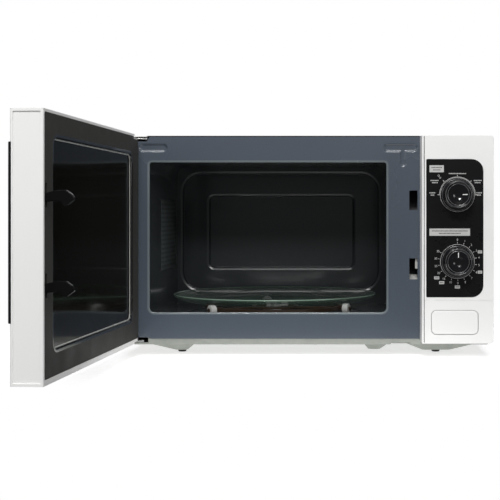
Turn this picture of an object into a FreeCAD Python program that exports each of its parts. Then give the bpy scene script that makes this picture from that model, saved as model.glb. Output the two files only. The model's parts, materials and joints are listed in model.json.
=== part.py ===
import FreeCAD, Part
import math
import os
from FreeCAD import Vector

# A compact microwave oven with its door standing open. Millimetres, +Z up, the door side at -Y.
# Everything is drawn with X = 0 in the middle of the cabinet, Y = 0 on the front plate's face and
# Z = 0 on the table, and save() moves it so that the origin is under the middle of the whole object.

os.makedirs("parts", exist_ok=True)

# ---- driving dimensions -------------------------------------------------------------------------
FRAME_X = 16.5            # where the cabinet's middle stands in the part's frame
FRAME_Y = 14.5            # where the front plate's face stands in the part's frame

HALF_W = 220.0            # half the cabinet's width
TOP = 263.4               # top of the cabinet and the front plate
REAR = 322.0              # rear edge of the cabinet
SHEET = 1.0               # steel sheet thickness
BEND = 5.0                # outer bend radius of the cabinet's top corners

PLATE_BOTTOM = 20.0
PLATE_RIGHT = 141.0
OPEN_X = (-188.5, 95.7)   # cavity mouth
OPEN_Z = (51.5, 231.4)
SLOT_X = (123.3, 133.1)   # latch slots in the front plate
SLOTS_Z = ((174.4, 197.8), (91.2, 116.5))

CAV_X = (-196.0, 104.0)   # inside of the cavity
CAV_Z = (40.0, 237.0)
CAV_BACK = 283.0
BACK_STEP = 8.0           # depth of the rear wall's outer panel
BACK_STEP_2 = 6.0         # depth of the inner panel behind that
VENT_Y = (215.0, 257.0)   # lamp holes in the cavity's right wall
VENT_Z = (196.0, 228.0)
DUCT_Y = (56.0, 92.0)     # air inlet holes, at the height of the lamp holes
EXHAUST_Y = (146.0, 210.0)  # embossed pad on the left wall
EXHAUST_Z = (107.0, 177.0)
VENT_R = 1.7              # one perforation
MOUTH_Y = (100.0, 160.0)  # microwave inlet in the right wall
MOUTH_Z = (137.0, 178.0)

BASE_Z = 13.0             # underside of the base
FOOT_Z = 3.2              # underside of the pressed feet
FOOT_X = (-155.0, 158.0)
FOOT_Y = (42.0, 278.0)

PANEL_X = (136.1, 220.0)
PANEL_Z = (17.8, 262.4)
PANEL_FRONT = -34.0
PANEL_WALL = 2.4
OVERLAY_FACE = -34.3
OVERLAY_X = (141.2, 208.0)
OVERLAY_Z = (72.2, 233.9)
KNOB_X = 177.6
POWER_Z = 192.2
TIMER_Z = 114.1
KNOB_R = 19.5
SHAFT_R = 3.0
SHAFT_END = -43.8         # front end of a dial's shaft, inside its knob
RUN_GAP = 0.05            # radial clearance of a running fit
BUTTON_X = (147.3, 201.8)
BUTTON_Z = (28.7, 56.7)
BUTTON_FRONT = -34.6
STEM_X = (166.0, 178.0)   # the button's stem
STEM_Z = (38.0, 48.0)
WEB_Y = (-7.0, -5.0)      # wall that the button's spring stands on
UNIT_Y = -28.0            # front of the timer and of the power selector
POST_X = (156.0, 199.2)   # screw posts of the timer and of the power selector
POST_Z = (TIMER_Z - 24.5, TIMER_Z + 24.5, POWER_Z - 22.0, POWER_Z + 22.0)
LEVER_Y = 6.0             # axis of the release lever
LEVER_Z = 78.0

HINGE_X = -212.5
HINGE_Y = -14.0
DOOR_OPEN = 93.3          # degrees that the door stands open
DOOR_X = (-220.0, 135.0)  # the door when shut
DOOR_Z = (16.8, 263.6)
DOOR_FRONT = -32.5
DOOR_INNER = -2.0
COVER_X = (-205.5, 131.5)
COVER_Z = (22.3, 260.7)
FLANGE_END = -217.3       # the cover's flange over the hinge side of the frame
FLANGE_Y = (-3.0, -2.0)
WINDOW_X = (-181.5, 104.5)
WINDOW_Z = (46.3, 239.1)
PIN_R = 2.5
HINGE_EDGE = -217.6       # outer edge of the hinge brackets
HINGE_TOP = (259.0, 261.0)
HINGE_LOW = (16.2, 18.2)
COVER_POST_X = (-190.0, 108.0)  # posts that the inner cover is screwed to
COVER_POST_Z = (40.0, 243.0)

HOOK_X = (125.0, 129.0)
HOOK_TOPS = (191.0, 110.0)
HOOK_TIP = 24.0

TABLE_X = -46.4           # turntable axis
TABLE_Y = 147.0
TRAY_R = 133.5
TRAY_Z = 54.2             # underside of the glass tray
TRACK_R = 100.0           # middle of the roller wheels' track
WHEEL_R = 6.8
WHEEL_Z = 47.05
AXLE_R = 1.5
WHEEL_AT = -50.0          # degrees from the front, towards +X, of the first wheel

FAN_X = 165.0
FAN_Z = 165.0
FAN_R = 40.0
GUIDE_X = (CAV_X[1] + SHEET, 130.0)
GUIDE_Y = (95.0, 205.0)
GUIDE_Z = (125.0, 190.0)
ANTENNA_Y = 172.0
ANTENNA_Z = 157.5
GLAND_X = 190.0
GLAND_Z = 62.0

AXIS_X = Vector(1, 0, 0)
AXIS_Y = Vector(0, 1, 0)
AXIS_Z = Vector(0, 0, 1)


# ---- helpers ------------------------------------------------------------------------------------
def box(x0, x1, y0, y1, z0, z1):
    return Part.makeBox(x1 - x0, y1 - y0, z1 - z0, Vector(x0, y0, z0))


def rod(radius, start, end):
    """A round rod from one point to another."""
    way = Vector(*end) - Vector(*start)
    return Part.makeCylinder(radius, way.Length, Vector(*start), way)


def rounded(u, v, radii, place):
    """A flat face with a radius at each corner, from low-low round to low-high. place makes points."""
    if not isinstance(radii, tuple):
        radii = (radii,) * 4
    corners = ((u[0], v[0]), (u[1], v[0]), (u[1], v[1]), (u[0], v[1]))
    turns = []
    for i, ((cu, cv), r) in enumerate(zip(corners, radii)):
        mu = cu + r if cu == u[0] else cu - r
        mv = cv + r if cv == v[0] else cv - r
        angles = [math.radians(180 + 90 * i + a) for a in (0, 45, 90)]
        turns.append([place(mu + r * math.cos(a), mv + r * math.sin(a)) for a in angles])
    edges = []
    for i, turn in enumerate(turns):
        if radii[i] > 0:
            edges.append(Part.Arc(*turn).toShape())
        following = turns[(i + 1) % 4][0]
        if turn[2].distanceToPoint(following) > 1e-6:
            edges.append(Part.LineSegment(turn[2], following).toShape())
    return Part.Face(Part.Wire(edges))


def slab_y(x, z, y, radii=0.0):
    """A slab with a rounded outline in XZ, from y[0] to y[1]."""
    face = rounded(x, z, radii, lambda u, v: Vector(u, y[0], v))
    return face.extrude(Vector(0, y[1] - y[0], 0))


def slab_z(x, y, z, radii=0.0):
    face = rounded(x, y, radii, lambda u, v: Vector(u, v, z[0]))
    return face.extrude(Vector(0, 0, z[1] - z[0]))


def slab_x(y, z, x, radii=0.0):
    face = rounded(y, z, radii, lambda u, v: Vector(x[0], u, v))
    return face.extrude(Vector(x[1] - x[0], 0, 0))


def fuse(*shapes):
    first = shapes[0]
    return first.fuse(list(shapes[1:])).removeSplitter() if len(shapes) > 1 else first


def group(shapes):
    """Separate solids in one node."""
    return Part.makeCompound(list(shapes))


def grow(span, by):
    return (span[0] - by, span[1] + by)


def turned(points, centre, axis):
    """A solid of revolution of (radius, height) points about an axis through centre."""
    side = AXIS_X if abs(axis.z) > 0.9 else axis.cross(AXIS_Z).normalize()
    corners = [centre + side * r + axis * h for r, h in points]
    face = Part.Face(Part.makePolygon(corners + corners[:1]))
    return face.revolve(centre, axis, 360)


def prism_x(points, x):
    """A prism along X of a (y, z) outline."""
    corners = [Vector(x[0], y, z) for y, z in points]
    return Part.Face(Part.makePolygon(corners + corners[:1])).extrude(Vector(x[1] - x[0], 0, 0))


def prism_y(points, y):
    """A prism along Y of an (x, z) outline."""
    corners = [Vector(px, y[0], pz) for px, pz in points]
    return Part.Face(Part.makePolygon(corners + corners[:1])).extrude(Vector(0, y[1] - y[0], 0))


def spaced(first, last, count):
    return [first + (last - first) * i / (count - 1) for i in range(count)]


def perforation(x, y, z, columns, rows):
    """A field of small round holes through a wall that faces along X."""
    return [rod(VENT_R, (x[0], at_y, at_z), (x[1], at_y, at_z))
            for at_y in spaced(*y, columns) for at_z in spaced(*z, rows)]


def coil(radius, wire, start, axis, length, turns):
    """A closed-end compression spring as a swept helix from start along axis."""
    helix = Part.makeHelix(length / turns, length, radius)
    ring = Part.Wire(Part.makeCircle(wire, Vector(radius, 0, 0), AXIS_Y))
    spring = Part.Wire(helix).makePipeShell([ring], True, True)
    spring.Placement = FreeCAD.Placement(start, FreeCAD.Rotation(AXIS_Z, axis))
    return spring


def lead(points, radius):
    """An insulated lead along straight runs joined by tangent arcs."""
    points = [Vector(*p) for p in points]
    edges = []
    start = points[0]
    for before, corner, after in zip(points, points[1:], points[2:]):
        back = before - corner
        ahead = after - corner
        trim = 0.45 * min(back.Length, ahead.Length)
        a = corner + back.normalize() * trim
        b = corner + ahead.normalize() * trim
        half_turn = (math.pi - back.getAngle(ahead)) / 2
        bisector = (back + ahead).normalize()
        depth = trim / math.tan(half_turn) * (1 / math.cos(half_turn) - 1)
        middle = corner + bisector * depth
        edges.append(Part.LineSegment(start, a).toShape())
        edges.append(Part.Arc(a, middle, b).toShape())
        start = b
    edges.append(Part.LineSegment(start, points[-1]).toShape())
    path = Part.Wire(edges)
    ring = Part.Wire(Part.makeCircle(radius, points[0], points[1] - points[0]))
    return path.makePipeShell([ring], True, False)


def swing(shape):
    """Turns a piece of the door from shut to the open position that it is stored in."""
    opened = shape.copy()
    opened.rotate(Vector(HINGE_X, HINGE_Y, 0), AXIS_Z, -DOOR_OPEN)
    return opened


def save(name, shape):
    moved = shape.copy()
    moved.translate(Vector(FRAME_X, FRAME_Y, 0))
    if not moved.isValid():
        print("NOT VALID", name)
    moved.exportStep(f"parts/{name}.step")
    b = moved.BoundBox
    print(f"{name:18s} solids {len(moved.Solids)} vol {moved.Volume / 1000:9.2f} cm3 "
          f"x {b.XMin:7.1f} {b.XMax:7.1f} y {b.YMin:7.1f} {b.YMax:7.1f} z {b.ZMin:6.1f} {b.ZMax:6.1f}")


# ---- chassis and cavity -------------------------------------------------------------------------
def front_plate():
    """Enamelled plate round the cavity mouth, with pressed stiffeners and the latch slots."""
    bead_depth = 1.5
    lip = 3.0
    plate = slab_y((-HALF_W, PLATE_RIGHT), (PLATE_BOTTOM, TOP), (0, SHEET), (0, 0, 0, BEND))
    rim = slab_y(grow(OPEN_X, SHEET), grow(OPEN_Z, SHEET), (0, lip), (7, 7, 4, 4))
    bead = slab_y((-201.0, -167.0), (244.4, 253.6), (-1, bead_depth), 4.5)
    tee = slab_y((92.1, 133.0), (244.4, 253.6), (-1, bead_depth), 4.5)
    stem = slab_y((112.2, 119.2), (226.6, 250.0), (-1, bead_depth), 3.4)
    backing = [
        slab_y((-202.0, -166.0), (243.4, 254.6), (0, bead_depth + SHEET), 5.5),
        slab_y((91.1, 134.0), (243.4, 254.6), (0, bead_depth + SHEET), 5.5),
        slab_y((111.2, 120.2), (225.6, 250.0), (0, bead_depth + SHEET), 4.4),
    ]
    plate = fuse(plate, rim, *backing)
    mouth = slab_y(OPEN_X, OPEN_Z, (-1, lip + 1), (6, 6, 3, 3))
    slots = [slab_y(SLOT_X, z, (-1, 2), 0.6) for z in SLOTS_Z]
    notch_edge = -192.0
    notch_end = -187.0
    top_notch = prism_y([(-HALF_W - 1, 257.0), (notch_edge, 257.0), (notch_end, TOP + 1),
                         (-HALF_W - 1, TOP + 1)], (-1, 2))
    low_notch = prism_y([(-HALF_W - 1, 21.6), (notch_edge, 21.6), (notch_end, PLATE_BOTTOM - 1),
                         (-HALF_W - 1, PLATE_BOTTOM - 1)], (-1, 2))
    return plate.cut([mouth, bead, tee, stem, top_notch, low_notch] + slots)


def cavity_wrap():
    """The left wall, ceiling and right wall of the cavity, bent from one sheet."""
    inner = 12.0
    outer = slab_y(grow(CAV_X, SHEET), (CAV_Z[0] - SHEET, CAV_Z[1] + SHEET), (SHEET, CAV_BACK),
                   (0, 0, inner + SHEET, inner + SHEET))
    hollow = slab_y(CAV_X, (CAV_Z[0] - 5, CAV_Z[1]), (0, CAV_BACK + 1), (0, 0, inner, inner))
    wrap = outer.cut(hollow)
    pad = slab_x(EXHAUST_Y, EXHAUST_Z, (CAV_X[0] - 0.5, CAV_X[0] + 1.2), 9.0)
    wrap = fuse(wrap, pad)
    right = (CAV_X[1] - 1, CAV_X[1] + 2)
    cuts = perforation(right, grow(VENT_Y, -3), grow(VENT_Z, -3), 6, 5)
    cuts += perforation(right, grow(DUCT_Y, -3), grow(VENT_Z, -3), 5, 5)
    cuts.append(slab_x(MOUTH_Y, MOUTH_Z, right, 2.0))
    return wrap.cut(cuts)


def cavity_floor():
    floor = box(CAV_X[0], CAV_X[1], SHEET, CAV_BACK, CAV_Z[0] - SHEET, CAV_Z[0])
    track = Part.makeCylinder(116.0, 0.6, Vector(TABLE_X, TABLE_Y, CAV_Z[0] - SHEET - 0.6))
    hollow = Part.makeCylinder(115.0, 0.6, Vector(TABLE_X, TABLE_Y, CAV_Z[0] - 0.6))
    shaft_hole = rod(6.0, (TABLE_X, TABLE_Y, CAV_Z[0] - 4), (TABLE_X, TABLE_Y, CAV_Z[0] + 1))
    return fuse(floor, track).cut([hollow, shaft_hole])


def cavity_back():
    """Rear wall pressed backwards in two steps with rounded edges."""
    centre_z = 143.5
    centre_x = -46.4

    def front_of(offset):
        """Everything in front of the sheet, its face moved back by offset."""
        first = ((centre_x - 140.5 - offset, centre_x + 140.5 + offset),
                 (centre_z - 85.0 - offset, centre_z + 85.0 + offset))
        second = ((centre_x - 106.0 - offset, centre_x + 106.0 + offset),
                  (centre_z - 53.5 - offset, centre_z + 53.5 + offset))
        y0 = CAV_BACK + offset
        face = slab_y((-300, 300), (-100, 400), (CAV_BACK - 40, y0))
        pan = slab_y(*first, (CAV_BACK - 20, y0 + BACK_STEP), 28.0 + offset)
        inner = slab_y(*second, (CAV_BACK - 20, y0 + BACK_STEP + BACK_STEP_2), 9.0 + offset)
        whole = fuse(face, pan, inner)
        round_out = 3.0 + offset
        round_in = 4.0 - offset
        y_inner = y0 + BACK_STEP + BACK_STEP_2
        for level, radius in ((y_inner, round_out), (y0, round_in)):
            ring = [e for e in whole.Edges if max(abs(e.BoundBox.YMin - level),
                                                  abs(e.BoundBox.YMax - level)) < 1e-3
                    and max(abs(e.BoundBox.XMin), abs(e.BoundBox.XMax)) < 290]
            whole = whole.makeFillet(radius, ring)
        return whole

    blank = box(CAV_X[0] - SHEET, CAV_X[1] + SHEET, CAV_BACK - 0.001, CAV_BACK + 30,
                CAV_Z[0] - SHEET, CAV_Z[1] + SHEET)
    return blank.common(front_of(SHEET)).cut(front_of(0.0))


def base_plate():
    """Galvanised base: flat pan, upturned flanges and pressed feet."""
    x = (-218.0, 218.0)
    y = (SHEET + 0.2, REAR - 2.5)
    top = BASE_Z + SHEET
    pan = slab_z(x, y, (BASE_Z, top), 3.0)
    wall = slab_z(x, y, (BASE_Z, top + 16.0), 3.0)
    inside = slab_z(grow(x, -SHEET), grow(y, -SHEET), (BASE_Z - 1, top + 20.0), 2.0)
    arch_x = (101.0, 125.0)
    arch_top = BASE_Z + 2.6
    arch_roof = slab_y(grow(arch_x, SHEET), (BASE_Z, arch_top + SHEET), (y[0] + 0.2, 14.0), (0, 0, 3.4, 3.4))
    arch_cut = slab_y(arch_x, (BASE_Z - 3.0, arch_top), (0, 13.0), (0, 0, 2.4, 2.4))
    pan = fuse(pan, wall.cut(inside), arch_roof).cut(arch_cut)

    def dish(mid_x, mid_y, top_x, top_y, low_x, low_y, depth):
        """A pressed foot: an outer frustum and the hollow above it."""
        def frustum(offset, drop):
            upper = rounded(grow(top_x, offset), grow(top_y, offset), 8.0 + offset,
                            lambda u, v: Vector(mid_x + u, mid_y + v, top + (0.5 if drop else 0)))
            lower = rounded(grow(low_x, offset), grow(low_y, offset), 5.0 + offset,
                            lambda u, v: Vector(mid_x + u, mid_y + v, depth + drop))
            return Part.makeLoft([upper.OuterWire, lower.OuterWire], True, True)
        return frustum(0.0, 0.0), frustum(-SHEET * 1.15, SHEET)

    feet = []
    for fy in FOOT_Y:
        feet.append(dish(FOOT_X[0], fy, (-46, 21), (-28, 28), (-8, 8), (-12, 12), FOOT_Z))
        feet.append(dish(FOOT_X[1], fy, (-42, 56), (-28, 28), (-18, 18), (-12, 12), FOOT_Z))
    feet.append(dish(82.5, 46.0, (-16, 21), (-24, 24), (-8, 7), (-12, 12), FOOT_Z + 0.4))
    pan = fuse(pan, *[outer for outer, _ in feet]).cut([hollow for _, hollow in feet])
    vents = [slab_z((sx, sx + 4), (sy, sy + 22), (BASE_Z - 1, top + 1), 1.9)
             for sx in spaced(-90.0, -10.0, 9) for sy in (200.0, 232.0)]
    hinge_gap = box(-230.0, -190.0, -1.0, 17.0, top + 1.4, top + 40.0)
    return pan.cut(vents + [hinge_gap])


def rubber_feet():
    feet = []
    for x in FOOT_X:
        for y in FOOT_Y:
            outline = [(0, 0), (4.4, 0), (5.0, 0.6), (5.0, FOOT_Z), (0, FOOT_Z)]
            feet.append(turned(outline, Vector(x, y, 0), AXIS_Z))
    return group(feet)


def outer_cabinet():
    """White cover bent over the top and both sides, with louvre slots."""
    y = (SHEET, REAR)
    outer = slab_y((-HALF_W, HALF_W), (BASE_Z + 1.5, TOP), y, (0, 0, BEND, BEND))
    inner = slab_y((-HALF_W + SHEET, HALF_W - SHEET), (0, TOP - SHEET), grow(y, 1),
                   (0, 0, BEND - SHEET, BEND - SHEET))
    louvres = []
    for sy in spaced(196.0, 268.0, 3):
        for sz in spaced(120.0, 228.0, 13):
            louvres.append(slab_x((sy, sy + 28), (sz, sz + 3.2), (HALF_W - 3, HALF_W + 1), 1.5))
    for sz in spaced(160.0, 232.0, 9):
        louvres.append(slab_x((262.0, 290.0), (sz, sz + 3.2), (-HALF_W - 1, -HALF_W + 3), 1.5))
    return outer.cut(inner).cut(louvres)


def rear_panel():
    y = (REAR - 2.4, REAR - 2.4 + SHEET)
    panel = slab_y((-HALF_W + 1.2, HALF_W - 1.2), (BASE_Z + 1.5, TOP - 1.2), y, (0, 0, 3.5, 3.5))
    cuts = []
    for sx in spaced(FAN_X - 33.0, FAN_X + 33.0, 12):
        for sz in (FAN_Z - 34.0, FAN_Z - 10.5, FAN_Z + 13.0):
            cuts.append(slab_y((sx - 1.7, sx + 1.7), (sz, sz + 20.0), grow(y, 1), 1.6))
    for sx in spaced(-170.0, -80.0, 12):
        cuts.append(slab_y((sx - 1.7, sx + 1.7), (206.0, 232.0), grow(y, 1), 1.6))
    cuts.append(rod(9.0, (GLAND_X, y[0] - 1, GLAND_Z), (GLAND_X, y[1] + 1, GLAND_Z)))
    return panel.cut(cuts)


def rear_spacer():
    """Plastic stand-off that keeps the oven clear of a wall."""
    y0 = REAR - 1.4
    x = -60.0
    z = 150.0
    outline = [(0, 0), (17, 0), (17, 1.6), (9.5, 3.0), (8.6, 12.4), (0, 12.4)]
    return turned(outline, Vector(x, y0, z), AXIS_Y).cut(rod(2.0, (x, y0 - 1, z), (x, y0 + 20, z)))


def screw(at, way):
    """A pan-head screw whose head stands on the surface at a point, pointing along way."""
    head = turned([(0, 0), (3.6, 0), (3.6, 1.2), (2.4, 2.2), (0, 2.2)], Vector(*at), way)
    drive = [Part.makeBox(3.6, 0.9, 3, Vector(-1.8, -0.45, 1.3)),
             Part.makeBox(0.9, 3.6, 3, Vector(-0.45, -1.8, 1.3))]
    for d in drive:
        d.Placement = FreeCAD.Placement(Vector(*at), FreeCAD.Rotation(AXIS_Z, way))
    return head.cut(drive)


def cabinet_screws():
    y = REAR - 1.4
    return group([screw((x, y, z), AXIS_Y) for x in (-206.0, 0.0, 206.0) for z in (28.0, 250.0)])


def base_screws():
    spots = ((-200, 150), (200, 150), (-100, 20), (10, 20), (-100, 300), (60, 300))
    return group([screw((x, y, BASE_Z), -AXIS_Z) for x, y in spots])


# ---- hinges -------------------------------------------------------------------------------------
def hinge(plate_z, leaf_z, pin_z, shelf_end):
    """A bracket spot-welded behind the front plate, with the door's pin."""
    leaf = box(HINGE_EDGE, -203.0, SHEET, SHEET + 2.0, *leaf_z)
    shelf = box(HINGE_EDGE, shelf_end, SHEET, 16.0, *plate_z)
    arm = slab_z((HINGE_EDGE, -203.5), (-22.0, 8.0), plate_z, (5.0, 7.0, 0, 0))
    pin = rod(PIN_R, (HINGE_X, HINGE_Y, pin_z[0]), (HINGE_X, HINGE_Y, pin_z[1]))
    return fuse(leaf, shelf, arm, pin)


def upper_hinge():
    return hinge(HINGE_TOP, (232.0, HINGE_TOP[0]), (249.5, HINGE_TOP[0]), -191.5)


def lower_hinge():
    return hinge(HINGE_LOW, (HINGE_LOW[1], 48.0), (HINGE_LOW[1], 28.0), -195.5)


# ---- control panel ------------------------------------------------------------------------------
def control_panel():
    """White moulded panel: a shell open at the back, with bosses, a button well and snap lugs."""
    w = PANEL_WALL
    shell = slab_y(PANEL_X, PANEL_Z, (PANEL_FRONT, 0), (1.0, 4.0, 4.0, 1.0))
    front = [e for e in shell.Edges if all(abs(v.Y - PANEL_FRONT) < 1e-6 for v in e.Vertexes)]
    shell = shell.makeFillet(0.8, front)
    hollow = slab_y(grow(PANEL_X, -w), grow(PANEL_Z, -w), (PANEL_FRONT + w, 1), 2.0)
    shell = shell.cut(hollow)
    web = box(PANEL_X[0] + 1, PANEL_X[1] - 1, *WEB_Y, PANEL_Z[0] + 1, 66.0)
    well_x = (143.0, 206.1)
    well_top = 62.5
    sides = [box(x, x + 1.5, PANEL_FRONT + 1, WEB_Y[1], PANEL_Z[0] + 1, well_top)
             for x in (well_x[0], well_x[1] - 1.5)]
    roof = box(*well_x, PANEL_FRONT + 1, WEB_Y[1], well_top - 1.5, well_top)
    posts = [rod(4.0, (px, PANEL_FRONT + 1, pz), (px, UNIT_Y, pz)) for px in POST_X for pz in POST_Z]
    lugs = [box(213.0, 218.9, -8.0, 8.0, z - 6, z + 6) for z in (60.0, 140.0, 220.0)]
    shell = fuse(shell, web, roof, *sides, *posts, *lugs)
    skin = (PANEL_FRONT - 1, PANEL_FRONT + 0.5)
    recess = slab_y(grow(OVERLAY_X, 0.1), grow(OVERLAY_Z, 0.1), skin, (1.5, 14.1, 14.1, 1.5))
    well = slab_y(grow(BUTTON_X, 0.5), grow(BUTTON_Z, 0.5), (-40, -30), 6.5)
    stem_hole = box(STEM_X[0] - 0.4, STEM_X[1] + 0.4, -9, -3, STEM_Z[0] - 0.4, STEM_Z[1] + 0.4)
    groove_z = OVERLAY_Z[0] - 3.5
    groove = box(*grow(PANEL_X, 1), *skin, groove_z - 0.35, groove_z + 0.35)
    return shell.cut([recess, well, stem_hole, groove] + knob_holes())


def knob_holes():
    return [rod(4.3, (KNOB_X, -40, z), (KNOB_X, -20, z)) for z in (POWER_Z, TIMER_Z)]


def panel_overlay():
    skin = (OVERLAY_FACE, PANEL_FRONT + 0.5)
    return slab_y(OVERLAY_X, OVERLAY_Z, skin, (1.4, 14.0, 14.0, 1.4)).cut(knob_holes())


def knob(z, pointer_degrees):
    """A round knob with a skirt, a dished face with a ring and a raised pointer bar."""
    centre = Vector(KNOB_X, OVERLAY_FACE - 0.5, z)
    body = turned([(0, 0), (KNOB_R - 0.4, 0), (KNOB_R, 0.5), (KNOB_R, 2.6), (KNOB_R - 1.6, 3.4),
                   (KNOB_R - 2.6, 13.4), (KNOB_R - 3.6, 14.4), (KNOB_R - 6.0, 14.4), (KNOB_R - 7.0, 13.2),
                   (8.0, 12.6), (0, 12.6)], centre, -AXIS_Y)
    bar_y = (OVERLAY_FACE - 13.7, OVERLAY_FACE - 5)
    bar = slab_y((KNOB_X + 4.6, KNOB_X + 10.5), (z - 0.7, z + 0.7), bar_y, 0.6)
    bar.rotate(Vector(KNOB_X, 0, z), -AXIS_Y, pointer_degrees)
    bore = rod(SHAFT_R, (KNOB_X, OVERLAY_FACE, z), (KNOB_X, SHAFT_END, z))
    return fuse(body, bar).cut(bore)


def knob_shaft(z, end):
    """A shaft pressed into its knob, running into the unit behind the panel."""
    return rod(SHAFT_R, (KNOB_X, SHAFT_END, z), (KNOB_X, end, z))


def timer_unit():
    """Clockwork housing with a motor can and terminals, screwed to the panel's posts."""
    y = (UNIT_Y, 4.0)
    body = slab_y((151.0, 204.0), (TIMER_Z - 21.0, TIMER_Z + 21.0), (y[0] + 1.5, y[1]), 3.0)
    ears = slab_y((151.0, 204.2), (TIMER_Z - 28.5, TIMER_Z + 28.5), (y[0], y[0] + 1.5), 3.0)
    can = rod(12.5, (KNOB_X - 10, y[1], TIMER_Z - 2), (KNOB_X - 10, y[1] + 12, TIMER_Z - 2))
    tabs = [box(x, x + 0.8, y[1], y[1] + 8, TIMER_Z + 12, TIMER_Z + 18.3)
            for x in (186.0, 191.0, 196.0)]
    bore = rod(SHAFT_R + RUN_GAP, (KNOB_X, y[0] - 1, TIMER_Z), (KNOB_X, y[0] + 24, TIMER_Z))
    return fuse(body, ears, can, *tabs).cut(bore)


def timer_bell():
    """The bell that rings at the end of the time."""
    centre = Vector(KNOB_X + 14.5, 4.0, TIMER_Z - 8.0)
    outline = [(0, 0), (2.0, 0), (2.0, 5.0), (10.5, 1.6), (11.6, 2.6), (3.0, 7.6), (0, 7.6)]
    return turned(outline, centre, AXIS_Y)


def power_selector():
    y = (UNIT_Y, -8.0)
    body = slab_y((159.0, 196.0), (POWER_Z - 18.0, POWER_Z + 18.0), (y[0] + 1.5, y[1]), 3.0)
    ears = slab_y((151.0, 204.2), (POWER_Z - 26.0, POWER_Z + 26.0), (y[0], y[0] + 1.5), 3.0)
    tabs = [box(x, x + 0.8, y[1], y[1] + 8, POWER_Z + s, POWER_Z + s + 6.3)
            for x in (165.0, 189.0) for s in (-13.0, 7.0)]
    bore = rod(SHAFT_R + RUN_GAP, (KNOB_X, y[0] - 1, POWER_Z), (KNOB_X, y[0] + 16, POWER_Z))
    return fuse(body, ears, *tabs).cut(bore)


def door_button():
    """Push button: a shallow cap with a stem that reaches the release lever."""
    cap = slab_y(BUTTON_X, BUTTON_Z, (BUTTON_FRONT, -22.0), 6.0)
    front = [e for e in cap.Edges if all(abs(v.Y - BUTTON_FRONT) < 1e-6 for v in e.Vertexes)]
    cap = cap.makeFillet(1.2, front)
    hollow = slab_y(grow(BUTTON_X, -2.2), grow(BUTTON_Z, -2.2), (-31.8, -20.0), 4.0)
    stem = box(*STEM_X, -32.0, -2.0, *STEM_Z)
    nib = box(STEM_X[0] + 2, STEM_X[1] - 2, -2.0, 1.4, 41.0, 44.0)
    return fuse(cap.cut(hollow), stem, nib)


def button_spring():
    """Return spring beside the stem, between the button and the panel's web."""
    return coil(2.4, 0.4, Vector(188.0, -31.3, 43.0), AXIS_Y, 23.8, 9)


def release_lever():
    """Bell crank: the button pushes its lower arm back and its upper arm lifts the hooks."""
    shaft = rod(SHAFT_R, (118.6, LEVER_Y, LEVER_Z), (178.0, LEVER_Y, LEVER_Z))
    lower = [(2.0, 40.0), (5.0, 40.0), (LEVER_Y + 3.5, LEVER_Z - 6), (LEVER_Y + 3.5, LEVER_Z + 3.5),
             (2.6, LEVER_Z + 3.5), (2.0, LEVER_Z - 6)]
    upper = [(LEVER_Y - 3.4, LEVER_Z - 3.4), (LEVER_Y + 3.4, LEVER_Z - 3.4), (22.5, 93.0),
             (22.5, 96.6), (18.0, 95.2), (LEVER_Y - 2.0, LEVER_Z + 5.0)]
    return fuse(shaft, prism_x(lower, (167.0, 177.0)), prism_x(upper, (124.0, 134.0)))


def latch_bracket():
    """Channel behind the latch slots. It carries the lever and the switches."""
    x = (118.3, 139.7)
    walls = slab_y(x, (68.0, 214.0), (SHEET, 46.0), 1.5)
    inner = box(x[0] + 2.2, x[1] - 2.2, 0, 43.5, 70.5, 211.5)
    ledge = box(x[0] + 1, x[1] - 1, 13.0, 24.0, HOOK_TOPS[0] - 20.5, HOOK_TOPS[0] - 14.0)
    tab = box(130.6, x[1] - 1, 4.0, 7.0, 104.0, 118.0)
    bore = rod(SHAFT_R + RUN_GAP, (110, LEVER_Y, LEVER_Z), (150, LEVER_Y, LEVER_Z))
    return fuse(walls.cut(inner), tab, ledge).cut(bore)


def interlock_switches():
    """Three snap-action switches clipped to the bracket's outer wall."""
    switches = []
    for z in (92.0, 128.0, 176.0):
        body = slab_x((14.0, 41.0), (z, z + 15.5), (139.75, 146.2), 1.0)
        tabs = [box(142.5, 143.3, y, y + 4.8, z - 6.5, z) for y in (17.0, 25.0, 33.0)]
        switches.append(fuse(body, *tabs))
    return group(switches)


# ---- door, drawn shut ---------------------------------------------------------------------------
def door_frame():
    """White moulded tray that carries the outer pane and the inner cover."""
    front_wall = 3.0
    outer = slab_z(DOOR_X, (DOOR_FRONT, DOOR_INNER), DOOR_Z, (4.0, 2.0, 1.2, 6.0))
    pocket = slab_y((-205.8, 131.8), (22.0, 261.0), (DOOR_FRONT + front_wall, 0), 3.0)
    window = slab_y((-160.0, 80.0), (84.0, 222.0), (-40, 0), 6.0)
    pane = slab_y((-208.2, 136.0), (72.2, 234.3), (-40, DOOR_FRONT + 1.3), (14.2, 0, 0, 14.2))
    lip = 2.6
    end = slab_x((DOOR_FRONT + lip, DOOR_INNER - lip), grow(DOOR_Z, -lip), (DOOR_X[1] - 1.0, 140), 1.0)
    rebate = box(DOOR_X[0] - 1, COVER_X[0] + 2, FLANGE_Y[0] - 0.3, 0, COVER_Z[0] - 0.3, COVER_Z[1] + 0.3)
    frame = outer.cut([pocket, window, pane, end, rebate])
    posts = [rod(4.5, (x, DOOR_FRONT + 1.5, z), (x, -13.5, z)) for x in COVER_POST_X for z in COVER_POST_Z]
    frame = fuse(frame, *posts)
    swing_room = 18.0
    notches = [rod(swing_room, (HINGE_X, HINGE_Y, 258.6), (HINGE_X, HINGE_Y, 270)),
               rod(swing_room, (HINGE_X, HINGE_Y, 10), (HINGE_X, HINGE_Y, HINGE_LOW[1] + 0.4))]
    bores = [rod(PIN_R + RUN_GAP, (HINGE_X, HINGE_Y, 249.0), (HINGE_X, HINGE_Y, 270)),
             rod(PIN_R + RUN_GAP, (HINGE_X, HINGE_Y, 10), (HINGE_X, HINGE_Y, 28.5))]
    return frame.cut(notches + bores)


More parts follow.
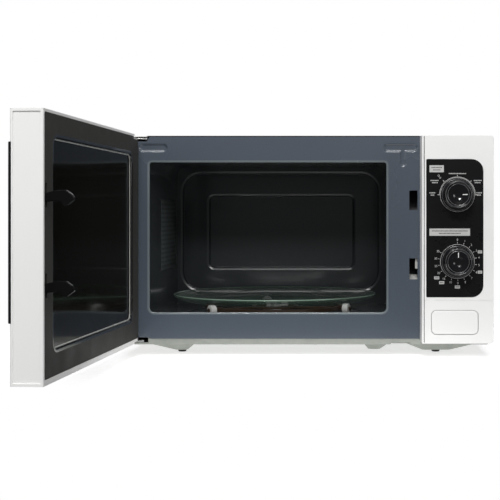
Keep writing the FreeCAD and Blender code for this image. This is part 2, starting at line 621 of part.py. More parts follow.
def door_glass():
    y = (DOOR_FRONT - 1.7, DOOR_FRONT + 1.3)
    return slab_y((-208.0, 134.4), (72.4, 234.1), y, (14.0, 1.0, 1.0, 14.0))


def door_screen():
    """Perforated steel pan with a folded choke channel, behind the inner cover."""
    x = (-203.0, 121.0)
    z = (24.0, 259.0)
    sheet = slab_y(x, z, (-13.5, -12.5), 4.0)
    rim = slab_y(x, z, (-24.0, -12.5), 4.0).cut(slab_y(grow(x, -SHEET), grow(z, -SHEET), (-25, -11), 3.0))
    holes = [rod(2.2, (hx, -14, hz), (hx, -12, hz))
             for hx in spaced(-150.0, 72.0, 20) for hz in spaced(96.0, 210.0, 11)]
    return fuse(sheet, rim).cut(holes)


def choke_cover():
    """Black band round the inner side, a step above the window sheet."""
    plate = slab_y(COVER_X, COVER_Z, (DOOR_INNER - 2.5, DOOR_INNER), 2.0)
    wall = slab_y(COVER_X, COVER_Z, (-12.5, DOOR_INNER), 2.0)
    hollow = slab_y(grow(COVER_X, -1.8), grow(COVER_Z, -1.8), (-13, DOOR_INNER - 2.5), 1.0)
    flange = slab_z((FLANGE_END, COVER_X[0] + 1), FLANGE_Y, COVER_Z, (0, 0, 0, 0.9))
    window = slab_y(WINDOW_X, WINDOW_Z, (-20, 2), 9.0)
    slots = [box(HOOK_X[0] - 0.6, HOOK_X[1] + 0.6, -8, 2, top - 15.5, top + 6.5) for top in HOOK_TOPS]
    swing_room = 18.4
    notches = [rod(swing_room, (HINGE_X, HINGE_Y, 258.2), (HINGE_X, HINGE_Y, 270)),
               rod(swing_room, (HINGE_X, HINGE_Y, 10), (HINGE_X, HINGE_Y, HINGE_LOW[1] + 0.6))]
    return fuse(plate, wall.cut(hollow), flange).cut([window] + slots + notches)


def door_film():
    """Glossy sheet seen through the cover's window."""
    return slab_y(grow(WINDOW_X, 8.0), grow(WINDOW_Z, 8.0), (DOOR_INNER - 3.3, DOOR_INNER - 2.5), 6.0)


def latch_hooks():
    """One bar with two hooks. It slides up against its spring when the hooks are pushed or lifted."""
    bar = box(HOOK_X[0] - 0.8, HOOK_X[1], -11.8, -5.2, 88.0, 201.0)
    noses = []
    for top in HOOK_TOPS:
        outline = [(-6.0, -11.0), (-6.0, -3.5), (2.0, -1.4), (8.0, 0.0), (17.0, 0.0),
                   (HOOK_TIP - 2.0, -3.8), (HOOK_TIP, -6.5), (HOOK_TIP, -8.6), (17.5, -13.5),
                   (13.5, -13.5), (12.0, -9.4), (-1.0, -10.4)]
        noses.append(prism_x([(y, top + dz) for y, dz in outline], HOOK_X))
    return fuse(bar, *noses)


def hook_spring():
    return coil(1.9, 0.35, Vector(126.6, -8.4, 201.6), AXIS_Z, 25.6, 9)


def hook_stop():
    """Spring seat moulded against the inner cover."""
    return box(122.0, 129.4, -11.9, DOOR_INNER - 2.5, 227.8, 231.0)


# ---- turntable ----------------------------------------------------------------------------------
def glass_tray():
    profile = [(0, 0), (110, 0), (120, 1.6), (128, 4.6), (TRAY_R, 8.2), (TRAY_R, 9.8), (TRAY_R - 2, 10.4),
               (126, 8.0), (118, 5.4), (109, 4.0), (0, 4.0)]
    tray = turned(profile, Vector(TABLE_X, TABLE_Y, TRAY_Z), AXIS_Z)
    lugs = []
    for i in range(3):
        a = math.radians(120 * i + 60)
        at = (TABLE_X + 12 * math.cos(a), TABLE_Y + 12 * math.sin(a))
        lugs.append(rod(2.6, (*at, TRAY_Z - 3.2), (*at, TRAY_Z + 1)))
    return fuse(tray, *lugs)


def coupler():
    """Three-lobed driver on the motor's shaft."""
    hub = Part.makeCylinder(8.0, 11.4, Vector(TABLE_X, TABLE_Y, CAV_Z[0] + 2.4))
    lobes = []
    for i in range(3):
        arm = slab_z((0, 17.0), (-3.4, 3.4), (CAV_Z[0] + 8.0, CAV_Z[0] + 13.8), 1.5)
        arm.rotate(Vector(0, 0, 0), AXIS_Z, 120 * i)
        arm.translate(Vector(TABLE_X, TABLE_Y, 0))
        lobes.append(arm)
    bore = rod(3.5, (TABLE_X, TABLE_Y, CAV_Z[0]), (TABLE_X, TABLE_Y, CAV_Z[0] + 10))
    return fuse(hub, *lobes).cut(bore)


def turntable_shaft():
    return rod(3.5, (TABLE_X, TABLE_Y, 22.0), (TABLE_X, TABLE_Y, CAV_Z[0] + 10))


def turntable_motor():
    can = Part.makeCylinder(24.5, 14.0, Vector(TABLE_X, TABLE_Y, 20.0))
    ears = slab_z((TABLE_X - 34, TABLE_X + 34), (TABLE_Y - 6, TABLE_Y + 6), (34.0, 35.0), 5.0)
    posts = [rod(3.0, (x, TABLE_Y, 35.0), (x, TABLE_Y, CAV_Z[0] - SHEET - 0.6))
             for x in (TABLE_X - 29, TABLE_X + 29)]
    tabs = [box(TABLE_X + s, TABLE_X + s + 0.8, TABLE_Y + 23, TABLE_Y + 34, 24.0, 29.0) for s in (-8.0, 7.0)]
    bore = rod(3.5 + RUN_GAP, (TABLE_X, TABLE_Y, 21.5), (TABLE_X, TABLE_Y, 60))
    return fuse(can, ears, *posts, *tabs).cut(bore)


def outward(i):
    """The outward direction of wheel i."""
    a = math.radians(WHEEL_AT + 120 * i)
    return Vector(math.sin(a), -math.cos(a), 0)


def roller_ring():
    centre = Vector(TABLE_X, TABLE_Y, WHEEL_Z)
    ring = turned([(84, -2.4), (92, -2.4), (92, 2.4), (84, 2.4)], centre, AXIS_Z)
    inner = turned([(26, -1.6), (31, -1.6), (31, 1.6), (26, 1.6)], centre, AXIS_Z)
    parts = [inner]
    for i in range(3):
        way = outward(i)
        parts.append(Part.makeCylinder(AXLE_R, 15.0, centre + way * 90, way))
        parts.append(Part.makeCylinder(2.6, 1.6, centre + way * (TRACK_R + 4.4), way))
        spoke = slab_z((28.0, 87.0), (-3.0, 3.0), (WHEEL_Z - 1.6, WHEEL_Z + 1.6))
        spoke.rotate(Vector(0, 0, 0), AXIS_Z, WHEEL_AT + 120 * i - 90)
        spoke.translate(Vector(TABLE_X, TABLE_Y, 0))
        parts.append(spoke)
    return fuse(ring, *parts)


def roller(i):
    """A wheel on the ring's axle, turning about the outward direction."""
    centre = Vector(TABLE_X, TABLE_Y, WHEEL_Z) + outward(i) * (TRACK_R - 4.0)
    bore = AXLE_R + RUN_GAP
    profile = [(bore, 0), (5.9, 0), (WHEEL_R, 0.9), (WHEEL_R, 7.1), (5.9, 8.0), (bore, 8.0)]
    return turned(profile, centre, outward(i))


# ---- electrics in the right-hand compartment ----------------------------------------------------
def waveguide():
    outer = slab_x(GUIDE_Y, GUIDE_Z, GUIDE_X, 3.0)
    inner = slab_x(grow(GUIDE_Y, -SHEET), grow(GUIDE_Z, -SHEET), (GUIDE_X[0] - 1, GUIDE_X[1] - SHEET), 2.0)
    port = rod(17.0, (GUIDE_X[1] - 3, ANTENNA_Y, ANTENNA_Z), (GUIDE_X[1] + 1, ANTENNA_Y, ANTENNA_Z))
    flange = slab_x(grow(GUIDE_Y, 6.0), grow(GUIDE_Z, 6.0), (GUIDE_X[0], GUIDE_X[0] + SHEET), 4.0)
    return fuse(outer, flange).cut([inner, port])


def waveguide_cover():
    return slab_x(grow(MOUTH_Y, 6.0), grow(MOUTH_Z, 6.0), (CAV_X[1] - 0.8, CAV_X[1]), 3.0)


def magnetron():
    """Yoke, cooling fins, antenna and filter box."""
    x = (130.0, 200.0)
    y = (132.0, 212.0)
    z = (119.0, 196.0)
    yoke = box(*x, *y, *z).cut(box(x[0] + 2, x[1] - 2, y[0] - 1, y[1] + 1, z[0] + 2, z[1] - 2))
    fins = [box(fx, fx + 0.8, y[0] + 4, y[1] - 4, z[0] + 1, z[1] - 1) for fx in spaced(144.0, 182.0, 9)]
    core = rod(19.0, (x[0] + 1, ANTENNA_Y, ANTENNA_Z), (x[1] - 1, ANTENNA_Y, ANTENNA_Z))
    magnets = [rod(27.0, (mx, ANTENNA_Y, ANTENNA_Z), (mx + 10.0, ANTENNA_Y, ANTENNA_Z))
               for mx in (x[0] + 1, x[1] - 11)]
    antenna = turned([(0, 0), (8.5, 0), (8.5, 8.0), (7.5, 8.0), (7.5, 20.0), (5.0, 22.5), (0, 22.5)],
                     Vector(x[0], ANTENNA_Y, ANTENNA_Z), -AXIS_X)
    filter_box = box(x[1], x[1] + 17.0, y[0] + 16, y[1] - 12, z[0] + 12, z[1] - 14)
    return fuse(yoke, core, antenna, filter_box, *magnets, *fins)


def transformer():
    """Laminated core with two windings on a foot plate."""
    x = (124.0, 206.0)
    y = (58.0, 140.0)
    z0 = BASE_Z + SHEET
    foot = slab_z(x, grow(y, 6.0), (z0, z0 + 2.0), 4.0)
    core = box(x[0], x[1], 74.0, 124.0, z0 + 2.0, z0 + 72.0)
    windings = [slab_z(grow(x, -14), y, (z0 + a, z0 + b), 14.0) for a, b in ((14.0, 36.0), (40.0, 60.0))]
    tabs = [box(sx, sx + 6.3, y[0] - 8, y[0] + 2, z0 + 46, z0 + 46.8) for sx in (150.0, 172.0)]
    return fuse(foot, core, *windings, *tabs)


def capacitor():
    z0 = BASE_Z + SHEET + 4.0
    can = slab_z((128.0, 180.0), (168.0, 202.0), (z0, z0 + 84.0), 16.0)
    strap = slab_z((126.6, 181.4), (166.6, 203.4), (z0 + 20, z0 + 34), 17.0)
    lug = box(134.0, 174.0, 176.0, 194.0, BASE_Z + SHEET, z0 + 1)
    tabs = [box(sx, sx + 0.8, 182.0, 188.3, z0 + 84, z0 + 92) for sx in (146.0, 162.0)]
    return fuse(can, strap, lug, *tabs)


def hv_diode():
    body = rod(4.0, (150.0, 216.0, 60.0), (150.0, 238.0, 60.0))
    wire = rod(0.8, (150.0, 206.0, 60.0), (150.0, 248.0, 60.0))
    ring = rod(5.0, (150.0, 244.0, 60.0), (150.0, 245.0, 60.0))
    post = box(147.0, 153.0, 243.6, 245.4, BASE_Z + SHEET, 58.0)
    return fuse(body, wire, ring, post)


def fan_shroud():
    y_plate = (REAR - 4.6, REAR - 2.5)
    plate = slab_y((FAN_X - 48, FAN_X + 50), (FAN_Z - 48, FAN_Z + 48), y_plate, 5.0)
    ring = rod(45.0, (FAN_X, 292.0, FAN_Z), (FAN_X, y_plate[1], FAN_Z))
    hole = rod(43.0, (FAN_X, 290.0, FAN_Z), (FAN_X, y_plate[1] + 1, FAN_Z))
    return fuse(plate, ring).cut(hole)


def fan_motor():
    """Shaded-pole motor on a cross bracket held by the shroud's four corners."""
    stack = box(FAN_X - 23, FAN_X + 23, 262.0, 276.0, FAN_Z - 23, FAN_Z + 23)
    hub = rod(10.0, (FAN_X, 256.0, FAN_Z), (FAN_X, 282.0, FAN_Z))
    winding = slab_z((FAN_X + 23, FAN_X + 44), (256.0, 282.0), (FAN_Z - 16, FAN_Z + 16), 5.0)
    bracket = slab_y((FAN_X - 40, FAN_X + 40), (FAN_Z - 40, FAN_Z + 40), (276.0, 277.5), 6.0)
    gaps = [slab_y((FAN_X + a, FAN_X + b), (FAN_Z + c, FAN_Z + d), (270, 280), 3.0)
            for a, b, c, d in ((-34, 34, 24, 45), (-34, 34, -45, -24))]
    posts = [rod(3.0, (FAN_X + sx, 276.0, FAN_Z + sz), (FAN_X + sx, REAR - 4.6, FAN_Z + sz))
             for sx in (-37, 37) for sz in (-37, 37)]
    bore = rod(1.5 + RUN_GAP, (FAN_X, 250, FAN_Z), (FAN_X, 290, FAN_Z))
    return fuse(stack, hub, winding, bracket.cut(gaps), *posts).cut(bore)


def fan_shaft():
    return rod(1.5, (FAN_X, 254.0, FAN_Z), (FAN_X, 306.0, FAN_Z))


def fan_blade():
    """Hub with five pitched blades."""
    hub = rod(9.0, (FAN_X, 296.0, FAN_Z), (FAN_X, 308.0, FAN_Z)).cut(
        rod(1.5, (FAN_X, 290.0, FAN_Z), (FAN_X, 306.0, FAN_Z)))
    blades = []
    for i in range(5):
        blade = Part.makeBox(FAN_R - 7, 1.4, 17.0, Vector(7.0, -0.7, -8.5))
        blade.rotate(Vector(0, 0, 0), AXIS_X, 33)
        blade.rotate(Vector(0, 0, 0), AXIS_Y, 72 * i)
        blade.translate(Vector(FAN_X, 302.0, FAN_Z))
        blades.append(blade)
    return fuse(hub, *blades)


def air_duct():
    """Plastic duct from the magnetron's fins to the cavity's inlet holes."""
    outer = slab_x((50.0, 130.0), (197.0, 233.0), (CAV_X[1] + SHEET, 150.0), 4.0)
    inner = slab_x((51.8, 131.0), (198.8, 231.2), (CAV_X[1], 148.2), 3.0)
    tail = slab_x((128.0, 150.0), (199.0, 229.0), (134.0, 150.0), 2.0).cut(
        slab_x((120.0, 152.0), (200.8, 227.2), (135.8, 148.2), 1.0))
    return fuse(outer.cut(inner), tail)


def lamp_holder():
    """Open box over the lamp holes, with the socket."""
    y = (VENT_Y[0] - 2, VENT_Y[1] + 2)
    z = (VENT_Z[0] - 2, VENT_Z[1] + 2)
    shell = slab_x(y, z, (CAV_X[1] + SHEET, 128.0), 2.0)
    inner = slab_x(grow(y, -1.2), grow(z, -1.2), (CAV_X[1], 126.8), 1.0)
    socket = rod(7.5, (126.0, 238.0, 212.0), (138.0, 238.0, 212.0))
    return fuse(shell.cut(inner), socket)


def lamp():
    return turned([(0, 0), (6.0, 0), (6.0, 3.0), (8.0, 7.0), (8.0, 13.0), (5.0, 16.4), (0, 17.6)],
                  Vector(126.0, 238.0, 212.0), -AXIS_X)


def thermal_cutouts():
    discs = []
    for x, y, z in ((50.0, 110.0, CAV_Z[1] + SHEET), (165.0, 172.0, 196.0)):
        discs.append(fuse(Part.makeCylinder(8.0, 6.0, Vector(x, y, z)),
                          box(x - 12, x + 12, y - 4, y + 4, z, z + 1.0),
                          box(x - 5, x - 4.2, y - 3, y + 3, z + 6, z + 13),
                          box(x + 4.2, x + 5, y - 3, y + 3, z + 6, z + 13)))
    return group(discs)


def noise_filter():
    """Mains filter board on stand-offs, with choke, fuse and capacitor."""
    board = box(120.0, 122.0, 256.0, 312.0, 24.0, 92.0)
    feet = box(122.0, 128.0, 258.0, 264.0, BASE_Z + SHEET, 30.0)
    choke = rod(12.0, (122.0, 284.0, 44.0), (138.0, 284.0, 44.0))
    choke = choke.cut(rod(5.0, (123.0, 284.0, 44.0), (139.0, 284.0, 44.0)))
    fuse_tube = rod(3.2, (126.5, 262.0, 76.0), (126.5, 292.0, 76.0))
    clips = [box(122.0, 130.0, y, y + 6.0, 72.0, 80.0) for y in (263.0, 285.0)]
    block = box(122.0, 134.0, 296.0, 308.0, 60.0, 86.0)
    return fuse(board, feet, choke, fuse_tube, block, *clips)


def cord_gland():
    """Mains inlet bush in the rear panel."""
    y0 = REAR - 2.4
    bore = 4.0
    outline = [(bore, -14.0), (8.8, -14.0), (8.8, 1.0), (12.0, 1.0), (12.0, 4.0), (7.4, 9.0), (bore, 9.0)]
    return turned(outline, Vector(GLAND_X, y0, GLAND_Z), AXIS_Y)


def wiring():
    """Leads between the units, along the compartment's outer side."""
    lead_r = 1.6
    to_magnetron = [(150.0, 48.0, 60.6), (150.0, 40.0, 74.0), (160.0, 30.0, 92.0), (190.0, 30.0, 118.0),
                    (211.0, 40.0, 142.0), (212.0, 90.0, 152.0), (212.0, 140.0, 150.0), (212.0, 147.0, 150.0)]
    to_filter = [(175.0, 48.0, 60.6), (178.0, 40.0, 76.0), (190.0, 26.0, 88.0), (210.0, 30.0, 70.0),
                 (212.0, 80.0, 50.0), (212.0, 160.0, 40.0), (206.0, 230.0, 50.0), (180.0, 262.0, 66.0),
                 (146.0, 272.0, 76.0), (130.5, 274.0, 76.0)]
    from_timer = [(188.0, 6.0, 132.0), (196.0, 24.0, 146.0), (205.0, 60.0, 160.0), (208.0, 110.0, 110.0),
                  (208.0, 160.0, 80.0), (200.0, 216.0, 70.0), (170.0, 260.0, 80.0), (146.0, 300.0, 78.0),
                  (134.5, 302.0, 78.0)]
    return group([lead(points, lead_r) for points in (to_magnetron, to_filter, from_timer)])


# ---- everything ---------------------------------------------------------------------------------
def build():
    fixed = {
        "front_plate": front_plate, "cavity_wrap": cavity_wrap, "cavity_floor": cavity_floor,
        "cavity_back": cavity_back, "base_plate": base_plate, "rubber_feet": rubber_feet,
        "outer_cabinet": outer_cabinet, "rear_panel": rear_panel, "rear_spacer": rear_spacer,
        "cabinet_screws": cabinet_screws, "base_screws": base_screws, "upper_hinge": upper_hinge,
        "lower_hinge": lower_hinge, "control_panel": control_panel, "panel_overlay": panel_overlay,
        "timer_unit": timer_unit, "timer_bell": timer_bell, "power_selector": power_selector,
        "door_button": door_button, "button_spring": button_spring, "release_lever": release_lever,
        "latch_bracket": latch_bracket, "interlock_switches": interlock_switches,
        "glass_tray": glass_tray, "coupler": coupler, "turntable_shaft": turntable_shaft,
        "turntable_motor": turntable_motor, "roller_ring": roller_ring, "waveguide": waveguide,
        "waveguide_cover": waveguide_cover, "magnetron": magnetron, "transformer": transformer,
        "capacitor": capacitor, "hv_diode": hv_diode, "fan_shroud": fan_shroud, "fan_motor": fan_motor,
        "fan_shaft": fan_shaft, "fan_blade": fan_blade, "air_duct": air_duct, "lamp_holder": lamp_holder,
        "lamp": lamp, "thermal_cutouts": thermal_cutouts, "noise_filter": noise_filter,
        "cord_gland": cord_gland, "wiring": wiring,
    }
    door = {
        "door_frame": door_frame, "door_glass": door_glass, "door_screen": door_screen,
        "choke_cover": choke_cover, "door_film": door_film, "latch_hooks": latch_hooks,
        "hook_spring": hook_spring, "hook_stop": hook_stop,
    }
    for name, make in fixed.items():
        save(name, make())
    for name, make in door.items():
        save(name, swing(make()))
    save("power_knob", knob(POWER_Z, 0))
    save("timer_knob", knob(TIMER_Z, 90))
    save("selector_shaft", knob_shaft(POWER_Z, -13.0))
    save("timer_shaft", knob_shaft(TIMER_Z, -5.0))
    for i in range(3):
        save(f"roller_{i + 1}", roller(i))


build()
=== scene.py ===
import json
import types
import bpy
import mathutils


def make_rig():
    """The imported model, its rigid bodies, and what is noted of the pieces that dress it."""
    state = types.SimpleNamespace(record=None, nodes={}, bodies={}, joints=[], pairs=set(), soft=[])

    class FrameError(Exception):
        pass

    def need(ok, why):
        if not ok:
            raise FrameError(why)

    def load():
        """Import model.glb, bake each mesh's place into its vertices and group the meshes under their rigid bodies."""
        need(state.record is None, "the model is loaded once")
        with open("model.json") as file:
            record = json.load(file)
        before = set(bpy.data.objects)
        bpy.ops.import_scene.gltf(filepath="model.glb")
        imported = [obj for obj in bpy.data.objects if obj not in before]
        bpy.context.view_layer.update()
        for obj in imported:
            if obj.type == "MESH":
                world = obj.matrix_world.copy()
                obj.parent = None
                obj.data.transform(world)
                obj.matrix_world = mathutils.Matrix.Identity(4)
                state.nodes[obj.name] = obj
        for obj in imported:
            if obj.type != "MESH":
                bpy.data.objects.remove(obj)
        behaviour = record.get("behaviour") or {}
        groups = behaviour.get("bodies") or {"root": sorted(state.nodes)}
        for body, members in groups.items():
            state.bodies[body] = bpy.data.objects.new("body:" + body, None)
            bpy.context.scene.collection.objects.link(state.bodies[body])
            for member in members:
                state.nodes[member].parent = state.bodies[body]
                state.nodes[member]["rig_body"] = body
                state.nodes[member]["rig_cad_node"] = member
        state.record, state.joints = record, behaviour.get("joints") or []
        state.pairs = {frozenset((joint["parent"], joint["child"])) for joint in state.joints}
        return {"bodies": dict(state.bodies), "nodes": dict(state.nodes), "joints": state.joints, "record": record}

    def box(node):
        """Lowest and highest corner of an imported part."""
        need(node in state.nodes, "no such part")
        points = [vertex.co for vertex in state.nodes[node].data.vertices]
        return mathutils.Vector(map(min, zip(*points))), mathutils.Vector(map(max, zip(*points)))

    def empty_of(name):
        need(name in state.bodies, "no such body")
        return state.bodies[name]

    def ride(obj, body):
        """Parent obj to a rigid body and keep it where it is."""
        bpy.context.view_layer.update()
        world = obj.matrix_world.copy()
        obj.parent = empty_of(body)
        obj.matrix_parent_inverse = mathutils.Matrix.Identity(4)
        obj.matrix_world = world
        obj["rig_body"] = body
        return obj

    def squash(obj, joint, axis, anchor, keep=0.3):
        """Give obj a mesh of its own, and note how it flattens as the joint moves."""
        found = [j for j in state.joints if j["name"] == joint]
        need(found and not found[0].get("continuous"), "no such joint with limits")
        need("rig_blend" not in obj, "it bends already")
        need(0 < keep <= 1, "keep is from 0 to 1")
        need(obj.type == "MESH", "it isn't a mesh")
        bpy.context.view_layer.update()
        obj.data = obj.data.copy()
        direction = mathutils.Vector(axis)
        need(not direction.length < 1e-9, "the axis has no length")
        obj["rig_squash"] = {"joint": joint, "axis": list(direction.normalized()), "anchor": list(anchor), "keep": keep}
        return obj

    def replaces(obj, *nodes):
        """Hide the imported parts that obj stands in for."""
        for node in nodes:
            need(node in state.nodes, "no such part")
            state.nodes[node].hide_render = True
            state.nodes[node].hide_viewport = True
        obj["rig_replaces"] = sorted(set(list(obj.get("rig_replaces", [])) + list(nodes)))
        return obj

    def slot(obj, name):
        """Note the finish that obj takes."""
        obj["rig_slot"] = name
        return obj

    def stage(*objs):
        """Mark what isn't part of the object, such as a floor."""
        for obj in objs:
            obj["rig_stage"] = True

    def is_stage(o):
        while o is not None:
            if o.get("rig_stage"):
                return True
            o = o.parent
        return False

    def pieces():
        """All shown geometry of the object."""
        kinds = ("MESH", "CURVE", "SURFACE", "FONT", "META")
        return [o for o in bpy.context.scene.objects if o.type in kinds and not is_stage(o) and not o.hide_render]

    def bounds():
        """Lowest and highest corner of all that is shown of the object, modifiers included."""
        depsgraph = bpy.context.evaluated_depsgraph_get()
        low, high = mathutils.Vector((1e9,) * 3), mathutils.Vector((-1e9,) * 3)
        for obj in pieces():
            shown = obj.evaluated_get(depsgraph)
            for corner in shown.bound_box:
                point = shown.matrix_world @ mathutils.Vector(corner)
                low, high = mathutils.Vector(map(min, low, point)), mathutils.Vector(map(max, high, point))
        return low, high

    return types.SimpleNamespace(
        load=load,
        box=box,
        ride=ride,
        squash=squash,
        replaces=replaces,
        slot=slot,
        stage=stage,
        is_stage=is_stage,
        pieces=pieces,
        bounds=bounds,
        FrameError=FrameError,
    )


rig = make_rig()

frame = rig.load()
cad_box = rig.bounds()

import json
import math
import bmesh
import bpy
from mathutils import Matrix, Vector
from mathutils.geometry import delaunay_2d_cdt

# A compact microwave oven with its door open. Shapes are drawn in millimetres, in the oven's own
# coordinates: X = 0 in the middle of the cabinet, Y = 0 on the face of the front plate, Z = 0 on the
# table. oven() and door() turn such a point into its place in the frame, in metres.
MM = 0.001
HALF_WIDTH = 220
plate_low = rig.box("front_plate")[0]
ORIGIN = Vector((plate_low.x + HALF_WIDTH * MM, plate_low.y, 0))
hinge = next(j for j in frame["joints"] if j["name"] == "door_hinge")
HINGE = Vector(hinge["pos_m"])
OPEN = math.radians(hinge["range_deg"][1])


def oven(x, y, z):
    """A point of the oven, given in millimetres."""
    return ORIGIN + Vector((x, y, z)) * MM


def door(x, y, z):
    """A point of the door, given in millimetres with the door shut, where it is with the door open."""
    return HINGE + Matrix.Rotation(-OPEN, 3, "Z") @ (oven(x, y, z) - HINGE)


# ---- shapes -------------------------------------------------------------------------------------
TINY = 1e-6               # a length that counts as none
WELD = 2e-6               # metres; points nearer than this are joined
STRAIGHT = 3.13           # radians; a corner more open than this isn't rounded
MOST_TRIM = 0.49          # of a side, so that the roundings at its two ends don't meet
LEAST_RADIUS = 0.02
LEAST_MITRE = 0.3         # limits how far a sharp corner of an offset outline reaches


def soften(points, steps=5):
    """An open outline of (a, b, radius) points with its corners rounded, as (a, b) points."""
    out = [points[0][:2]]
    for before, here, after in zip(points, points[1:], points[2:]):
        corner, radius = Vector(here[:2]), here[2]
        back, ahead = Vector(before[:2]) - corner, Vector(after[:2]) - corner
        angle = back.angle(ahead)
        if radius <= 0 or angle > STRAIGHT:
            out.append(tuple(corner))
            continue
        trim = min(radius / math.tan(angle / 2), back.length * MOST_TRIM, ahead.length * MOST_TRIM)
        a, b = corner + back.normalized() * trim, corner + ahead.normalized() * trim
        for i in range(steps + 1):
            t = i / steps
            out.append(tuple(a * (1 - t) ** 2 + corner * 2 * t * (1 - t) + b * t ** 2))
    out.append(points[-1][:2])
    return out


def ring(u, v, radii, inset=0.0, corner=8):
    """A rounded rectangle, drawn in from its edges by inset, as (u, v) points round from low-low.
    Each corner has its radius from radii, or all have the same one, and corner + 1 points."""
    radii = radii if isinstance(radii, tuple) else (radii,) * 4
    spots = ((u[0], v[0], 1, 1), (u[1], v[0], -1, 1), (u[1], v[1], -1, -1), (u[0], v[1], 1, -1))
    points = []
    for i, ((cu, cv, su, sv), r) in enumerate(zip(spots, radii)):
        r = max(r - inset, LEAST_RADIUS)
        mu, mv = cu + su * (inset + r), cv + sv * (inset + r)
        for k in range(corner + 1):
            a = math.radians(180 + 90 * i + 90 * k / corner)
            points.append((mu + r * math.cos(a), mv + r * math.sin(a)))
    return points


def offset(points, distance):
    """A closed outline drawn inwards by distance; the outline runs counter-clockwise."""
    out = []
    for before, here, after in zip(points[-1:] + points[:-1], points, points[1:] + points[:1]):
        here = Vector(here)
        first, second = here - Vector(before), Vector(after) - here
        if first.length < TINY or second.length < TINY:
            out.append(tuple(here))
            continue
        n1 = Vector((-first.y, first.x)).normalized()
        n2 = Vector((-second.y, second.x)).normalized()
        mitre = (n1 + n2).normalized()
        out.append(tuple(here + mitre * distance / max(mitre.dot(n1), LEAST_MITRE)))
    return out


def along_y(place):
    """A place function for an outline in X and Z that is carried along Y."""
    return lambda x, z, y: place(x, y, z)


def loft(rings, cap_first=False, cap_last=False, closed=True):
    """A skin over rings of points that have the same count."""
    count = len(rings[0])
    verts = [p for r in rings for p in r]
    faces = []
    for i in range(len(rings) - 1):
        for k in range(count if closed else count - 1):
            a, b = i * count + k, i * count + (k + 1) % count
            faces.append((a, b, b + count, a + count))
    if cap_first:
        faces.append(tuple(reversed(range(count))))
    if cap_last:
        faces.append(tuple(range(len(verts) - count, len(verts))))
    return verts, faces


def moulding(u, v, radii, path, place, cap_first=False, cap_last=False, corner=8):
    """A rounded rectangle carried along a path of (inset, depth) points."""
    rings = [[place(a, b, depth) for a, b in ring(u, v, radii, inset, corner)] for inset, depth in path]
    return loft(rings, cap_first, cap_last)


def revolve(profile, centre, axis, count):
    """(radius, height) points turned about an axis through a centre, given in millimetres."""
    axis = Vector(axis).normalized()
    side = axis.orthogonal().normalized()
    other = axis.cross(side)
    verts, faces = [], []
    rows = []
    for r, h in profile:
        row = []
        steps = 1 if r < TINY else count
        for k in range(steps):
            a = 2 * math.pi * k / count
            p = Vector(centre) + axis * h + (side * math.cos(a) + other * math.sin(a)) * r
            row.append(len(verts))
            verts.append(oven(*p))
        rows.append(row)
    for one, two in zip(rows, rows[1:]):
        for k in range(count):
            after = k + 1
            quad = [one[k % len(one)], one[after % len(one)], two[after % len(two)], two[k % len(two)]]
            quad = [q for i, q in enumerate(quad) if q != quad[i - 1]]
            if len(quad) > 2:
                faces.append(tuple(quad))
    return verts, faces


def relief(u, v, step, height, place):
    """A patch whose surface is moved by height(u, v) millimetres."""
    nu, nv = round((u[1] - u[0]) / step), round((v[1] - v[0]) / step)
    us = [u[0] + (u[1] - u[0]) * i / nu for i in range(nu + 1)]
    vs = [v[0] + (v[1] - v[0]) * i / nv for i in range(nv + 1)]
    rows = [[place(a, b, height(a, b)) for a in us] for b in vs]
    return loft(rows, closed=False)


def bar_distance(u, v, start, end):
    """Distance from a point to a straight segment."""
    a, b, p = Vector(start), Vector(end), Vector((u, v))
    t = max(0.0, min(1.0, (p - a).dot(b - a) / (b - a).length_squared))
    return (p - a - (b - a) * t).length


def pressed(distance, width, depth):
    """A smooth step that is depth deep well inside and 0 outside."""
    t = max(0.0, min(1.0, 0.5 - distance / width))
    return depth * t * t * (3 - 2 * t)


def divided(loop, step):
    """A closed outline with points added along its sides."""
    out = []
    for a, b in zip(loop, loop[1:] + loop[:1]):
        count = round((Vector(b) - Vector(a)).length / step)
        out += [tuple(Vector(a).lerp(Vector(b), i / count)) for i in range(count)]
    return out


def inside(point, loop):
    """Whether a point is inside a closed outline."""
    odd = False
    for (x0, y0), (x1, y1) in zip(loop, loop[1:] + loop[:1]):
        if (y0 > point.y) != (y1 > point.y) and point.x < x0 + (x1 - x0) * (point.y - y0) / (y1 - y0):
            odd = not odd
    return odd


def joined(parts):
    """Several (vertices, faces) parts as one."""
    verts, faces = [], []
    for part in parts:
        shift = len(verts)
        verts.extend(part[0])
        faces.extend(tuple(i + shift for i in face) for face in part[1])
    return verts, faces


def filled(loops):
    """The (points, triangles) that fill the first outline and leave the others open."""
    points = [Vector(p) for loop in loops for p in loop]
    edges = []
    for loop in loops:
        start = len(edges)
        edges += [(start + i, start + (i + 1) % len(loop)) for i in range(len(loop))]
    flat, _, triangles, *_ = delaunay_2d_cdt(points, edges, [], 0, TINY)
    kept = []
    for triangle in triangles:
        middle = sum((flat[i] for i in triangle), Vector((0, 0))) / 3
        if sum(inside(middle, loop) for loop in loops) == 1:
            kept.append(tuple(triangle))
    return flat, kept


def sheet(outline, holes, bare, place, thick, edge):
    """A plate with rounded edges. holes get edges like the outline's; bare ones are left open."""
    path = soften([(edge, 0, 0), (0, 0, edge), (0, thick, edge), (edge, thick, 0)], 3)
    parts = []
    for points, way in [(outline, 1)] + [(h, -1) for h in holes]:
        rings = [[place(a, b, d) for a, b in offset(points, way * inset)] for inset, d in path]
        parts.append(loft(rings))
    flat, kept = filled([offset(outline, edge)] + [offset(h, -edge) for h in holes] + list(bare))
    for depth in (0, thick):
        parts.append(([place(p.x, p.y, depth) for p in flat], kept))
    return joined(parts)


